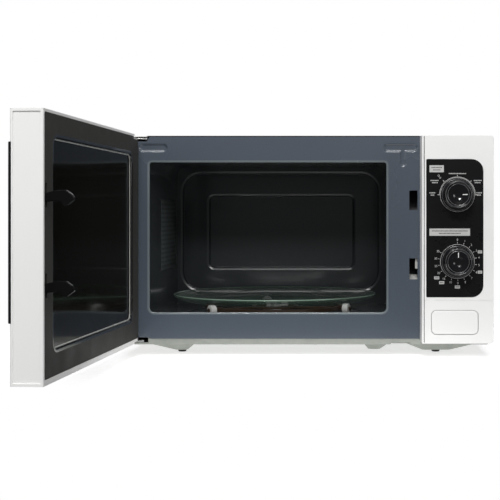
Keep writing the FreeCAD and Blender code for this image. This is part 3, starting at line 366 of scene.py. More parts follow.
def block(x, y, z, edge=0.3):
    """A box with rounded edges, given by its lowest and highest x, y and z."""
    path = soften([(edge, z[0], 0), (0, z[0], edge), (0, z[1], edge), (edge, z[1], 0)], 3)
    return moulding(x, y, edge, path, oven, True, True, 3)


def piece(name, parts, material, slot_name, body, replaces=(), angle=32):
    """One object from several (vertices, faces) parts; edges sharper than angle degrees stay sharp."""
    verts, faces = joined(parts)
    mesh = bpy.data.meshes.new(name)
    mesh.from_pydata([tuple(v) for v in verts], [], faces)
    bm = bmesh.new()
    bm.from_mesh(mesh)
    bmesh.ops.remove_doubles(bm, verts=bm.verts[:], dist=WELD)
    bmesh.ops.recalc_face_normals(bm, faces=bm.faces[:])
    for face in bm.faces:
        face.smooth = True
    for edge in bm.edges:
        if len(edge.link_faces) == 2 and edge.calc_face_angle(0) > math.radians(angle):
            edge.smooth = False
    bm.to_mesh(mesh)
    bm.free()
    obj = bpy.data.objects.new(name, mesh)
    bpy.context.collection.objects.link(obj)
    mesh.materials.append(material)
    obj.modifiers.new("weighted", "WEIGHTED_NORMAL").keep_sharp = True
    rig.ride(obj, body)
    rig.slot(obj, slot_name)
    if replaces:
        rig.replaces(obj, *replaces)
    return obj


FLAT_ANGLE, EDGE_ANGLE = 1.0, 35    # degrees: faces that count as one plane, edges that get rounded
EASE_STEPS = 3


def ease(node, width):
    """Rounds the sharp edges of a CAD node."""
    obj = frame["nodes"][node]
    obj.modifiers.new("weld", "WELD").merge_threshold = TINY
    planar = obj.modifiers.new("planar", "DECIMATE")
    planar.decimate_type = "DISSOLVE"
    planar.angle_limit = math.radians(FLAT_ANGLE)
    bevel = obj.modifiers.new("bevel", "BEVEL")
    bevel.width = width * MM
    bevel.segments = EASE_STEPS
    bevel.limit_method = "ANGLE"
    bevel.angle_limit = math.radians(EDGE_ANGLE)
    bevel.use_clamp_overlap = True
    obj.modifiers.new("weighted", "WEIGHTED_NORMAL").keep_sharp = True


# ---- materials ----------------------------------------------------------------------------------
COAT_ROUGH = 0.08
LEAST_ROUGH = 0.01
NOISE_LOW, NOISE_HIGH = 0.3, 0.7    # where most of a noise pattern's values lie


def noise(tree, vector, scale, detail):
    """A noise pattern with scale waves a metre."""
    node = tree.nodes.new("ShaderNodeTexNoise")
    node.inputs["Scale"].default_value = scale
    node.inputs["Detail"].default_value = detail
    tree.links.new(vector, node.inputs["Vector"])
    return node.outputs["Fac"]


def tinted(tree, vector, color, tint, scale):
    """A colour that wanders a little darker and lighter."""
    mix = tree.nodes.new("ShaderNodeMix")
    mix.data_type = "RGBA"
    mix.inputs["A"].default_value = (*[c * (1 - tint) for c in color], 1)
    mix.inputs["B"].default_value = (*[min(c * (1 + tint), 1) for c in color], 1)
    tree.links.new(noise(tree, vector, scale, 5), mix.inputs["Factor"])
    return mix.outputs["Result"]


def flecked(tree, vector, base, color, scale, size, scatter):
    """A colour with round flecks of another colour; scatter 0 sets them in straight rows."""
    cells = tree.nodes.new("ShaderNodeTexVoronoi")
    cells.inputs["Scale"].default_value = scale
    cells.inputs["Randomness"].default_value = scatter
    tree.links.new(vector, cells.inputs["Vector"])
    near = tree.nodes.new("ShaderNodeMapRange")
    near.inputs["From Min"].default_value = size
    near.inputs["From Max"].default_value = size * 0.5
    tree.links.new(cells.outputs["Distance"], near.inputs["Value"])
    over = tree.nodes.new("ShaderNodeMix")
    over.data_type = "RGBA"
    over.inputs["B"].default_value = (*color, 1)
    tree.links.new(near.outputs["Result"], over.inputs["Factor"])
    tree.links.new(base, over.inputs["A"])
    return over.outputs["Result"]


def uneven_gloss(tree, vector, rough, vary, scale):
    """A roughness that wanders by vary either way."""
    gloss = tree.nodes.new("ShaderNodeMapRange")
    gloss.inputs["From Min"].default_value = NOISE_LOW
    gloss.inputs["From Max"].default_value = NOISE_HIGH
    gloss.inputs["To Min"].default_value = max(rough - vary, LEAST_ROUGH)
    gloss.inputs["To Max"].default_value = min(rough + vary, 1.0)
    tree.links.new(noise(tree, vector, scale, 4), gloss.inputs["Value"])
    return gloss.outputs["Result"]


def grained(tree, vector, scale, strength, depth):
    """The normal of a fine grain, depth millimetres deep."""
    bumps = tree.nodes.new("ShaderNodeBump")
    bumps.inputs["Strength"].default_value = strength
    bumps.inputs["Distance"].default_value = depth * MM
    tree.links.new(noise(tree, vector, scale, 3), bumps.inputs["Height"])
    return bumps.outputs["Normal"]


def finish(name, color, rough, metal=0.0, coat=0.0, tint=0.05, tint_scale=9.0, vary=0.06, vary_scale=35.0,
           grain=700.0, bump=0.05, depth=0.02, stretch=(1, 1, 1), specular=0.5, ior=1.5, fleck=None):
    """A surface with uneven colour, uneven gloss and a fine grain. Scales are waves a metre; fleck is
    the colour, scale, size and scatter of flecks."""
    mat = bpy.data.materials.new(name)
    mat.use_nodes = True
    tree = mat.node_tree
    tree.nodes.clear()
    out = tree.nodes.new("ShaderNodeOutputMaterial")
    shader = tree.nodes.new("ShaderNodeBsdfPrincipled")
    tree.links.new(shader.outputs["BSDF"], out.inputs["Surface"])
    shader.inputs["Metallic"].default_value = metal
    shader.inputs["Coat Weight"].default_value = coat
    shader.inputs["Coat Roughness"].default_value = COAT_ROUGH
    shader.inputs["Specular IOR Level"].default_value = specular
    shader.inputs["IOR"].default_value = ior
    place = tree.nodes.new("ShaderNodeTexCoord")
    mapping = tree.nodes.new("ShaderNodeMapping")
    mapping.inputs["Scale"].default_value = stretch
    tree.links.new(place.outputs["Object"], mapping.inputs["Vector"])
    vector = mapping.outputs["Vector"]
    base = tinted(tree, vector, color, tint, tint_scale)
    if fleck:
        base = flecked(tree, vector, base, *fleck)
    tree.links.new(base, shader.inputs["Base Color"])
    tree.links.new(uneven_gloss(tree, vector, rough, vary, vary_scale), shader.inputs["Roughness"])
    tree.links.new(grained(tree, vector, grain, bump, depth), shader.inputs["Normal"])
    return mat


def first_of(nodes, kind):
    """The first node of a kind."""
    return next(n for n in nodes if n.type == kind)


def glass(name, color, opacity):
    """Thin clear glass: a gloss over a tint that lets most of the light through."""
    mat = finish(name, color, 0.05, coat=0.3, tint=0.05, vary=0.015, grain=90, bump=0.03, depth=0.2,
                 specular=0.6)
    nodes, links = mat.node_tree.nodes, mat.node_tree.links
    shader = first_of(nodes, "BSDF_PRINCIPLED")
    edge_on = nodes.new("ShaderNodeLayerWeight")
    alpha = nodes.new("ShaderNodeMapRange")
    alpha.inputs["To Min"].default_value = opacity * 0.5
    alpha.inputs["To Max"].default_value = opacity
    links.new(edge_on.outputs["Facing"], alpha.inputs["Value"])
    links.new(alpha.outputs["Result"], shader.inputs["Alpha"])
    return mat


# Every finish, by a short name; then the finish of each CAD node.
M = {
    "white_enamel": finish("white_powder_coat", (0.80, 0.80, 0.79), 0.38, grain=1500, bump=0.35, depth=0.05,
                           tint=0.02),
    "dark_enamel": finish("blue_grey_enamel", (0.064, 0.080, 0.103), 0.27, coat=0.6, grain=420, bump=0.08,
                          depth=0.05, tint=0.03, tint_scale=4, vary=0.02, vary_scale=5),
    # A darker, less blue copy of the front plate's enamel: painted shade for the inside of the cavity.
    "shaded_cavity_enamel": finish("shaded_cavity_enamel", (0.046, 0.056, 0.062), 0.24, coat=0.5, grain=260, bump=0.08,
                            depth=0.06, tint=0.06, tint_scale=8, vary=0.03, vary_scale=6),
    # Paler than the cavity wall: a painted highlight, with rows of dark flecks as painted shade for vent holes.
    "pad_painted_light": finish("pad_sheen_and_hole_shade", (0.15, 0.17, 0.175), 0.45, grain=600, bump=0.4, depth=0.1, tint=0.1,
                       stretch=(0, 1, 1), fleck=((0.004, 0.004, 0.004), 170, 0.36, 0.0)),
    "galvanised": finish("galvanised_steel", (0.39, 0.41, 0.375), 0.42, metal=0.7, grain=900, bump=0.1,
                         tint=0.16, tint_scale=90, vary=0.1, vary_scale=120),
    "zinc": finish("zinc_plate", (0.72, 0.73, 0.72), 0.28, metal=1.0, tint=0.06, tint_scale=60, grain=1200,
                   stretch=(1, 6, 1)),
    "white_plastic": finish("white_moulded", (0.85, 0.85, 0.84), 0.34, grain=2200, bump=0.18, depth=0.03,
                            tint=0.015, vary=0.05),
    "black_plastic": finish("black_moulded", (0.012, 0.012, 0.013), 0.28, grain=1800, bump=0.15, depth=0.03,
                            tint=0.15),
    "knob": finish("knob_black", (0.007, 0.007, 0.008), 0.13, coat=0.2, specular=0.25, grain=1800,
                   bump=0.06, tint=0.15, vary=0.04),
    # Painted highlight: a grey, far paler than the knob, for its fine rings.
    "bead_glint_grey": finish("painted_highlight_rings", (0.11, 0.11, 0.115), 0.25, tint=0.3, tint_scale=60, grain=1800),
    "pointer": finish("pointer_white", (0.78, 0.78, 0.76), 0.45, grain=1800, bump=0.1),
    "inner_black": finish("inner_cover_black", (0.030, 0.029, 0.026), 0.60, specular=0.3, grain=1400,
                          bump=0.3, depth=0.04, tint=0.10),
    "bezel": finish("bezel_black", (0.010, 0.010, 0.010), 0.12, coat=0.5, vary=0.03, grain=1400, bump=0.08),
    "window_film": finish("gloss_film", (0.007, 0.007, 0.006), 0.09, vary=0.02, grain=16, bump=0.12,
                          depth=0.5, tint=0.2, specular=0.4, ior=1.25),
    # A light grey for the window's rim: a painted glint on the edge of the clear sheet.
    "painted_glint_grey": finish("window_edge_painted_glint", (0.55, 0.56, 0.53), 0.25, tint=0.25, tint_scale=30, grain=900),
    "hook_black": finish("hook_black", (0.004, 0.004, 0.004), 0.22, specular=0.16, grain=1400, bump=0.1),
    # A lighter copy of the plate's enamel: a painted highlight along the mouth's lip.
    "lip_highlight_enamel": finish("lip_enamel_painted_highlight", (0.13, 0.155, 0.17), 0.22, coat=0.8, tint=0.05, grain=400),
    "door_pane": finish("black_pane", (0.005, 0.005, 0.006), 0.05, vary=0.02, grain=40, bump=0.02,
                        depth=0.1, tint=0.2),
    "overlay": finish("overlay_black", (0.007, 0.007, 0.0075), 0.30, grain=2500, bump=0.15, depth=0.02,
                      tint=0.12, vary=0.05, specular=0.12),
    "print_pale": finish("pale_print", (0.58, 0.58, 0.57), 0.5, grain=2500, bump=0.1, tint=0.08,
                         tint_scale=400),
    # Dim print for the pale labels; also the painted highlight rings round the knobs.
    "print_dim_and_ring_glint": finish("dim_print_and_ring_glint", (0.50, 0.50, 0.49), 0.5, grain=2500, bump=0.1, tint=0.1,
                        tint_scale=400),
    "screen": finish("screen_black", (0.02, 0.02, 0.02), 0.4),
    "tray_glass": glass("tray_glass", (0.105, 0.185, 0.135), 0.36),
    # A paler, greener glass for the tray's rim: a painted highlight.
    "rim_glint_glass": finish("painted_highlight_on_tray_edge", (0.24, 0.33, 0.27), 0.12, coat=0.6, tint=0.2, tint_scale=25,
                        grain=500),
    "lamp_glass": glass("lamp_glass", (0.85, 0.83, 0.78), 0.3),
    # Real rubber for the feet; also the black of the two painted shadow gaps on the front.
    "rubber": finish("rubber", (0.012, 0.012, 0.012), 0.75, grain=900, bump=0.4, depth=0.05, tint=0.2),
    "roller_white": finish("roller_white", (0.86, 0.86, 0.83), 0.42, tint=0.04, grain=1500, bump=0.1),
    "ring_brown": finish("ring_brown", (0.055, 0.034, 0.022), 0.4, tint=0.1, grain=1500, bump=0.15),
    "nylon": finish("nylon_grey", (0.50, 0.50, 0.48), 0.45, tint=0.05, grain=1400, bump=0.15),
    "nylon_black": finish("nylon_black", (0.018, 0.018, 0.018), 0.45, tint=0.15, grain=1400, bump=0.2),
    "case": finish("pressed_case", (0.45, 0.45, 0.42), 0.4, metal=0.6, tint=0.08, tint_scale=60),
    "steel": finish("turned_steel", (0.62, 0.63, 0.64), 0.22, metal=1.0, grain=900, stretch=(1, 8, 1)),
    "motor": finish("motor_steel", (0.42, 0.42, 0.42), 0.4, metal=0.9, tint=0.12, tint_scale=50),
    "aluminium": finish("bright_aluminium", (0.74, 0.75, 0.76), 0.3, metal=1.0, tint=0.05, tint_scale=70),
    "core": finish("varnished_core", (0.06, 0.045, 0.035), 0.4, metal=0.3, grain=1500, stretch=(1, 1, 8),
                   bump=0.5, depth=0.08),
    "mica": finish("mica_sheet", (0.46, 0.42, 0.33), 0.5, tint=0.15, tint_scale=120, grain=500, bump=0.2,
                   fleck=((0.62, 0.58, 0.48), 420, 0.22, 1.0)),
    "board": finish("board_green", (0.03, 0.12, 0.05), 0.45, tint=0.2, tint_scale=200),
    "lead": finish("silicone_lead", (0.40, 0.03, 0.02), 0.45, tint=0.08, grain=1500, bump=0.2),
}
NODE_FINISH = {
    "white_enamel": ["outer_cabinet"],
    "dark_enamel": ["front_plate"],
    "shaded_cavity_enamel": ["cavity_wrap", "cavity_floor", "cavity_back"],
    "galvanised": ["base_plate", "rear_panel", "waveguide", "fan_shroud"],
    "zinc": ["upper_hinge", "lower_hinge", "cabinet_screws", "base_screws", "thermal_cutouts",
             "timer_bell"],
    "white_plastic": ["control_panel", "door_frame", "door_button"],
    "black_plastic": ["power_knob", "timer_knob", "hook_stop"],
    "hook_black": ["latch_hooks"],
    "inner_black": ["choke_cover"],
    "window_film": ["door_film"],
    "door_pane": ["door_glass"],
    "overlay": ["panel_overlay"],
    "screen": ["door_screen"],
    "tray_glass": ["glass_tray"],
    "lamp_glass": ["lamp"],
    "rubber": ["rubber_feet"],
    "roller_white": ["roller_1", "roller_2", "roller_3"],
    "ring_brown": ["roller_ring"],
    "nylon": ["release_lever", "coupler", "air_duct", "rear_spacer", "lamp_holder"],
    "nylon_black": ["latch_bracket", "interlock_switches", "cord_gland", "fan_blade", "power_selector"],
    "case": ["timer_unit"],
    "steel": ["selector_shaft", "timer_shaft", "turntable_shaft", "fan_shaft", "hook_spring",
              "button_spring"],
    "motor": ["turntable_motor", "fan_motor"],
    "aluminium": ["magnetron", "capacitor"],
    "core": ["transformer"],
    "mica": ["waveguide_cover"],
    "board": ["noise_filter", "hv_diode"],
    "lead": ["wiring"],
}
for key, names in NODE_FINISH.items():
    for name in names:
        node = frame["nodes"][name]
        node.data.materials.clear()
        node.data.materials.append(M[key])

# ---- front plate --------------------------------------------------------------------------------
MOUTH_X, MOUTH_Z, MOUTH_R = (-188.5, 95.7), (51.5, 231.4), (6.0, 6.0, 3.0, 3.0)
LIP = 2.6
PLATE_OUTLINE = [(-HALF_WIDTH, 21.6), (-192, 21.6), (-187.0, 20), (141, 20), (141, 263.4), (-187.7, 263.4),
                 (-192, 257), (-HALF_WIDTH, 257)]
PLATE_THICK = 1.0
SLOT_X, SLOTS_Z = (123.3, 133.1), ((174.4, 197.8), (91.2, 116.5))
# Two pressings near the plate's top edge: a bead on the left and a T on the right, each in its own patch.
BEAD = ((-207.0, -161.0), (241.0, 257.0))
TEE_BAR = ((86.0, 136.0), (241.0, 257.0))
TEE_STEM = ((109.0, 122.5), (224.0, 241.0))
PRESS_Z = 249.0
PRESS_STEP, PRESS_SOFT, PRESS_DEPTH = 0.5, 2.6, 1.6
BAR_HALF, STEM_HALF = 3.9, 2.7


def rectangle(u, v):
    """The outline of a rectangle."""
    return [(u[0], v[0]), (u[1], v[0]), (u[1], v[1]), (u[0], v[1])]


def tee_outline(bar, stem):
    """The outline round a crossbar with a stem under it."""
    (bar_left, bar_right), (bar_low, bar_high) = bar
    (stem_left, stem_right), (stem_low, _) = stem
    return [(stem_left, stem_low), (stem_right, stem_low), (stem_right, bar_low), (bar_right, bar_low),
            (bar_right, bar_high), (bar_left, bar_high), (bar_left, bar_low), (stem_left, bar_low)]


def bead_depth(u, v):
    """The depth of the pressed bead at a point of its patch."""
    bar = bar_distance(u, v, (-196.2, PRESS_Z), (-171.8, PRESS_Z)) - BAR_HALF
    return pressed(bar, PRESS_SOFT, PRESS_DEPTH)


def tee_depth(u, v):
    """The depth of the pressed T at a point of its patches."""
    bar = bar_distance(u, v, (96.9, PRESS_Z), (128.2, PRESS_Z)) - BAR_HALF
    stem = bar_distance(u, v, (115.7, PRESS_Z), (115.7, 229.9)) - STEM_HALF
    return pressed(min(bar, stem), PRESS_SOFT, PRESS_DEPTH)


slots = [ring(SLOT_X, z, 0.8) for z in SLOTS_Z]
mouth_hole = ring(MOUTH_X, MOUTH_Z, MOUTH_R, -LIP)
patches = [divided(loop, PRESS_STEP) for loop in (rectangle(*BEAD), tee_outline(TEE_BAR, TEE_STEM))]
face = sheet(PLATE_OUTLINE, slots, [mouth_hole] + patches, along_y(oven), PLATE_THICK, 0.3)
lip_path = soften([(-LIP, 0, 0), (0, 0, LIP), (0, 3, 0.4), (-1, 3, 0.3), (-1, 2.2, 0), (-LIP, 1.0, 0)], 8)
lip = moulding(MOUTH_X, MOUTH_Z, MOUTH_R, lip_path, along_y(oven))
pressings = [relief(*BEAD, PRESS_STEP, bead_depth, along_y(oven))]
pressings += [relief(*patch, PRESS_STEP, tee_depth, along_y(oven)) for patch in (TEE_BAR, TEE_STEM)]
# The black block along the plate's top edge is painted shade: a dark band where there is only the shadow gap under the
# cabinet's front edge.
strip = block((-191.0, 135.5), (-0.2, 0.8), (262.3, 263.5))
catch = block((130.5, 138.8), (3.9, 7.1), (103.9, 118.1))
# The lip takes a lighter copy of the plate's enamel: a painted highlight round the mouth's edge.
piece("mouth_lip_highlight", [lip], M["lip_highlight_enamel"], "dark_enamel", "oven")
piece("top_shadow_gap", [strip], M["rubber"], "rubber_black", "oven")
piece("enamelled_front", [face] + pressings, M["dark_enamel"], "dark_enamel", "oven", ["front_plate"])
piece("slot_catch", [catch], M["nylon"], "nylon_grey", "oven")

# ---- rear wall of the cavity --------------------------------------------------------------------
# Two steps are pressed into it, one inside the other: a pan, and a smaller step in its middle.
REAR = 283.0    # Y of the wall's face
REAR_CORNER = 16
WALL_X, WALL_Z, WALL_R = (-196.0, 104.0), (40.0, 237.0), (1.0, 1.0, 12.0, 12.0)
PAN_X, PAN_Z, PAN_R = (-189.9, 96.1), (58.5, 229.5), 28.0
STEP_X, STEP_Z, STEP_R = (-152.4, 59.6), (90.0, 197.0), 9.0


def rear_rings(x, z, radii, path):
    """The rings of one pressed step, from (inset, depth) points; depth is behind the wall's face."""
    return [[oven(a, REAR + depth, b) for a, b in ring(x, z, radii, inset, REAR_CORNER)]
            for inset, depth in path]


pan_path = soften([(-4, 0, 0), (-1.8, 0, 2.0), (1.5, 0.8, 1.3), (2.1, 8, 0.8), (14, 8, 0)], 7)
step_path = soften([(-9, 8, 0), (-1.8, 8, 2.0), (1.5, 8.8, 1.3), (2.1, 14, 0.8), (12, 14, 0)], 7)
rear_wall = rear_rings(WALL_X, WALL_Z, WALL_R, [(0, 0)])
rear_wall += rear_rings(PAN_X, PAN_Z, PAN_R, pan_path)
rear_wall += rear_rings(STEP_X, STEP_Z, STEP_R, step_path)
# The wall takes the cavity's enamel, a darker copy of the plate's: painted shade.
piece("pressed_rear_wall", [loft(rear_wall, cap_last=True)], M["shaded_cavity_enamel"], "dark_enamel", "oven",
      ["cavity_back"], angle=50)

# ---- perforated pad on the cavity's left wall ---------------------------------------------------
LEFT_WALL = -195.95
PAD_Y, PAD_Z = (146.0, 250.0), (107.0, 177.0)
PAD_SOFT, PAD_HEIGHT, PAD_STEP = 12.0, 1.5, 2.0


def pad_height(y, z):
    """How far the soft-edged pad stands out of the wall."""
    over_y = abs(y - sum(PAD_Y) / 2) - (PAD_Y[1] - PAD_Y[0]) / 2
    over_z = abs(z - sum(PAD_Z) / 2) - (PAD_Z[1] - PAD_Z[0]) / 2
    return pressed(max(over_y, over_z) - PAD_SOFT / 2, PAD_SOFT, PAD_HEIGHT)


# The pad's grey, paler than the wall, is a painted highlight for the soft light band on the wall; its rows of dark
# flecks are painted shade in place of vent holes.
pad = relief([PAD_Y[0] - PAD_SOFT, PAD_Y[1] + PAD_SOFT], [PAD_Z[0] - PAD_SOFT, PAD_Z[1] + PAD_SOFT],
             PAD_STEP, pad_height, lambda y, z, d: oven(LEFT_WALL + d, y, z))
piece("pad_painted_light", [pad], M["pad_painted_light"], "dark_enamel", "oven")

# ---- glass tray ---------------------------------------------------------------------------------
TABLE = (-46.4, 147.0, 54.2)    # the middle of the tray's underside
UP = (0, 0, 1)
TRAY_COUNT = 180
LUG_RADIUS = 12
DOT_HEIGHT = 3.9
DOT_RINGS = ((40, 34.0, 1.0), (52, 42.0, 0.8))    # count, radius of the ring, radius of a dot
RIM_RADIUS, RIM_HEIGHT, RIM_THICK = 132.35, 10.1, 0.75


def over_table(radius, angle, height):
    """A point by its radius, angle in radians and height over the middle of the tray's underside."""
    return (TABLE[0] + radius * math.cos(angle), TABLE[1] + radius * math.sin(angle), TABLE[2] + height)


tray_profile = soften([(0, 0, 0), (110, 0, 2), (120, 1.6, 12), (128, 4.6, 8), (133.5, 8.0, 2.0),
                       (133.5, 10.0, 1.3), (131.2, 10.4, 1.3), (126, 8.2, 8), (118, 5.4, 12), (109, 4, 4),
                       (0, 4, 0)], 6)
lug_profile = soften([(0, -3.2, 0), (2.6, -3.2, 0.8), (2.6, 0.4, 0)], 3)
rim_profile = [(RIM_RADIUS + RIM_THICK * math.cos(a), RIM_HEIGHT + RIM_THICK * math.sin(a))
               for a in (math.radians(45 * k) for k in range(9))]
tray_parts = [revolve(tray_profile, TABLE, UP, TRAY_COUNT)]
for i in range(3):
    at = over_table(LUG_RADIUS, math.radians(120 * i + 60), 0)
    tray_parts.append(revolve(lug_profile, at, UP, 24))
for count, radius, size_mm in DOT_RINGS:
    dot_profile = soften([(size_mm, 0, 0), (size_mm * 0.7, 0.5, 0.4), (0, 0.6, 0)], 2)
    for i in range(count):
        at = over_table(radius, 2 * math.pi * i / count, DOT_HEIGHT)
        tray_parts.append(revolve(dot_profile, at, UP, 10))
# The thin ring on the tray's edge is a painted highlight: paler, greener glass where the rim would catch the light.
piece("tray_rim_highlight", [revolve(rim_profile, TABLE, UP, TRAY_COUNT)], M["rim_glint_glass"], "tray_glass", "turntable")
piece("pressed_glass_tray", tray_parts, M["tray_glass"], "tray_glass", "turntable", ["glass_tray"])

# ---- roller ring --------------------------------------------------------------------------------
RING = Vector((TABLE[0], TABLE[1], 47.05))
FIRST_SPOKE = -50    # degrees from straight forwards
AXLE_AT, WHEEL_AT, AXLE_END_AT = 90, 96, 104.4    # millimetres out along a spoke


def hoop(inner, outer, half, edge):
    """The profile of a flat ring with rounded edges."""
    return soften([(inner, 0, 0), (inner, -half, edge), (outer, -half, edge), (outer, half, edge),
                   (inner, half, edge), (inner, 0, 0)], 3)


def outward(i):
    """The direction of spoke i."""
    a = math.radians(FIRST_SPOKE + 120 * i)
    return Vector((math.sin(a), -math.cos(a), 0))


def along_spoke(way):
    """A place function for a part that runs out along a spoke."""
    across = Vector(UP).cross(way)
    return lambda u, v, d: oven(*(RING + way * d + across * u + Vector((0, 0, v))))


axle_profile = soften([(0, 0, 0), (1.5, 0, 0), (1.5, 15, 0.3), (0, 15, 0)], 3)
axle_end_profile = soften([(0, 0, 0), (2.6, 0, 0.4), (2.6, 1.6, 0.4), (0, 1.6, 0)], 3)
wheel_profile = soften([(1.55, 0, 0), (5.6, 0, 0.4), (6.8, 1.0, 0.5), (6.8, 3.2, 0.3), (6.45, 3.7, 0.3),
                        (6.45, 4.3, 0.3), (6.8, 4.8, 0.3), (6.8, 7.0, 0.5), (5.6, 8.0, 0.4), (1.55, 8.0, 0),
                        (1.55, 0, 0)], 3)
ring_parts = [revolve(hoop(84, 92, 2.4, 0.6), RING, UP, 144), revolve(hoop(26, 31, 1.6, 0.5), RING, UP, 72)]
for i in range(3):
    way = outward(i)
    ring_parts.append(revolve(axle_profile, RING + way * AXLE_AT, way, 24))
    ring_parts.append(revolve(axle_end_profile, RING + way * AXLE_END_AT, way, 24))
    ring_parts.append(moulding((-3, 3), (-1.6, 1.6), 0.6, [(0, 28.5), (0, 86.5)], along_spoke(way),
                               True, True, 3))
    wheel = revolve(wheel_profile, RING + way * WHEEL_AT, way, 48)
    piece(f"track_wheel_{i + 1}", [wheel], M["roller_white"], "roller_white", f"wheel_{i + 1}",
          [f"roller_{i + 1}"])
piece("roller_track", ring_parts, M["ring_brown"], "ring_brown", "ring", ["roller_ring"])

# ---- control panel ------------------------------------------------------------------------------
OVERLAY = -34.3                   # face of the black overlay
PRINT = OVERLAY - 0.04            # face of the printing, and where it sinks into the overlay
PRINT_BACK = OVERLAY + 0.02
INK = PRINT - 0.03                # face of the dark print on the pale labels
DIAL_X, POWER_Z, TIMER_Z = 177.6, 192.2, 114.1
overlay_path = soften([(0, -33.5, 0), (0, OVERLAY, 0.12), (0.4, OVERLAY, 0)], 3)
film = moulding((141.2, 208.0), (72.2, 233.9), (1.4, 14.0, 14.0, 1.4), overlay_path, along_y(oven),
                False, True, 10)
piece("dial_overlay", [film], M["overlay"], "overlay_print", "oven", ["panel_overlay"])
# The thin black block down the panel's left front edge is painted shade: it stands for the shadow in the gap beside the
# fascia.
gap = block((138.4, 139.2), (-34.08, -33.9), (19.2, 261.0), edge=0.05)
piece("fascia_gap_shadow", [gap], M["rubber"], "rubber_black", "oven")

SIZE_OVER_HEIGHT = 1.38           # a font's size over the height of its digits
DASH_HALVES = (0.36, 0.30, 0.40, 0.26, 0.38)
DASH_HEIGHT, DASH_PITCH = 1.2, 1.35
# Where lines of small print stand round the power dial: middle x, middle z, width.
PRINT_LINES = ((150.8, 208.8, 9.6), (151.2, 206.3, 6.8), (201.4, 208.8, 9.6), (201.2, 206.3, 7.0),
               (177.6, 217.0, 20.6), (148.2, 194.4, 7.0), (148.4, 191.8, 4.4), (203.0, 194.4, 6.6),
               (202.6, 191.8, 4.6))
POWER_TICKS = ((-90, 1.5), (-45, 2.2), (0, 1.6), (45, 1.6), (90, 1.5))    # degrees, length
TIMER_NUMBERS = (0, 1, 2, 3, 4, 5, 6, 7, 8, 9, 10, 15, 20, 25, 30, 35)
TIMER_SWEEP = 298
NUMBER_HEIGHT = 2.5
LINE_WIDTH = 0.45


def mark(x, z, half_x, half_z, turn=0.0):
    """A printed bar, turned clockwise by turn degrees about its middle."""
    c, s = math.cos(math.radians(turn)), math.sin(math.radians(turn))
    spots = [(x + u * c + v * s, z - u * s + v * c)
             for u, v in ((-half_x, -half_z), (half_x, -half_z), (half_x, half_z), (-half_x, half_z))]
    return loft([[oven(a, y, b) for a, b in spots] for y in (PRINT_BACK, PRINT)], True, True)


def arc(x, z, radius, first, last, width):
    """A printed arc; angles run clockwise from straight up."""
    rows = []
    for i in range(65):
        a = math.radians(first + (last - first) * i / 64)
        rows.append([oven(x + r * math.sin(a), y, z + r * math.cos(a))
                     for r, y in ((radius, PRINT_BACK), (radius, PRINT), (radius + width, PRINT),
                                  (radius + width, PRINT_BACK))])
    return loft(rows, closed=False)


def around(x, z, radius, degrees):
    """The point at radius and degrees, clockwise from straight up, round x, z."""
    a = math.radians(degrees)
    return x + radius * math.sin(a), z + radius * math.cos(a)


def number(text, x, z, height):
    """A printed number, standing upright with its middle at x, z."""
    data = bpy.data.curves.new("number", "FONT")
    data.body = text
    data.size = height * SIZE_OVER_HEIGHT
    data.align_x = "CENTER"
    holder = bpy.data.objects.new("number", data)
    bpy.context.collection.objects.link(holder)
    bpy.context.view_layer.update()
    mesh = bpy.data.meshes.new_from_object(holder.evaluated_get(bpy.context.evaluated_depsgraph_get()))
    part = ([oven(x + v.co.x, PRINT, z + v.co.y - height / 2) for v in mesh.vertices],
            [tuple(p.vertices) for p in mesh.polygons])
    bpy.data.objects.remove(holder)
    bpy.data.curves.remove(data)
    bpy.data.meshes.remove(mesh)
    return part


def dashes(x, z, width, count):
    """A row of short bars, standing for a line of small print."""
    pitch = width / count
    return [mark(x - width / 2 + pitch * (i + 0.5), z, pitch * DASH_HALVES[i % 5], DASH_HEIGHT / 2)
            for i in range(count)]


prints = [arc(DIAL_X, POWER_Z, 20.7, -92, 92, LINE_WIDTH)]
# The full rings round both knobs are painted highlights: pale lines on the overlay that stand for the light caught
# round each knob's skirt.
rings = [arc(DIAL_X, z, 19.75, -180, 180, LINE_WIDTH) for z in (POWER_Z, TIMER_Z)]
for degrees, length in POWER_TICKS:
    prints.append(mark(*around(DIAL_X, POWER_Z, 21.6 + length / 2, degrees), 0.35, length / 2, degrees))
for x, z, width in PRINT_LINES:
    prints += dashes(x, z, width, max(round(width / DASH_PITCH), 3))
for x, z in ((155.6, 214.6), (157.2, 212.2)):
    prints.append(arc(x, z, 0.7, -180, 180, 0.4))
for i, value in enumerate(TIMER_NUMBERS):
    degrees = i * TIMER_SWEEP / (len(TIMER_NUMBERS) - 1)
    prints.append(mark(*around(DIAL_X, TIMER_Z, 22.0, degrees), 0.25, 0.9, degrees))
    prints.append(number(str(value), *around(DIAL_X, TIMER_Z, 25.6, degrees), NUMBER_HEIGHT))
piece("dial_marks", prints, M["print_pale"], "white_plastic", "oven")

# The pale labels: x and z from edge to edge.
LABELS = (((144.9, 161.7), (218.5, 226.7)), ((144.9, 192.4), (144.2, 152.6)),
          ((201.4, 206.6), (123.6, 127.0)), ((201.4, 206.6), (100.0, 103.4)),
          ((174.6, 180.6), (82.6, 86.0)), ((150.4, 156.4), (93.2, 96.6)),
          ((156.2, 162.2), (87.6, 91.0)))
# The dark lines on them: middle x, middle z, width.
INK_LINES = ((153.3, 224.0, 12.5), (153.3, 221.2, 9.0), (168.6, 149.8, 42.0), (168.6, 147.0, 26.0),
             (204.0, 125.3, 3.8), (204.0, 101.7, 3.8), (177.6, 84.3, 4.4), (153.4, 94.9, 4.4),
             (159.2, 89.3, 4.4))
INK_HALF, INK_PITCH = 0.55, 1.5
INK_FROM, INK_TO = 0.18, 0.82     # of a dash's share of the line
labels = [moulding(x, z, 0.4, [(0, PRINT_BACK), (0, PRINT)], along_y(oven), False, True, 4)
          for x, z in LABELS]
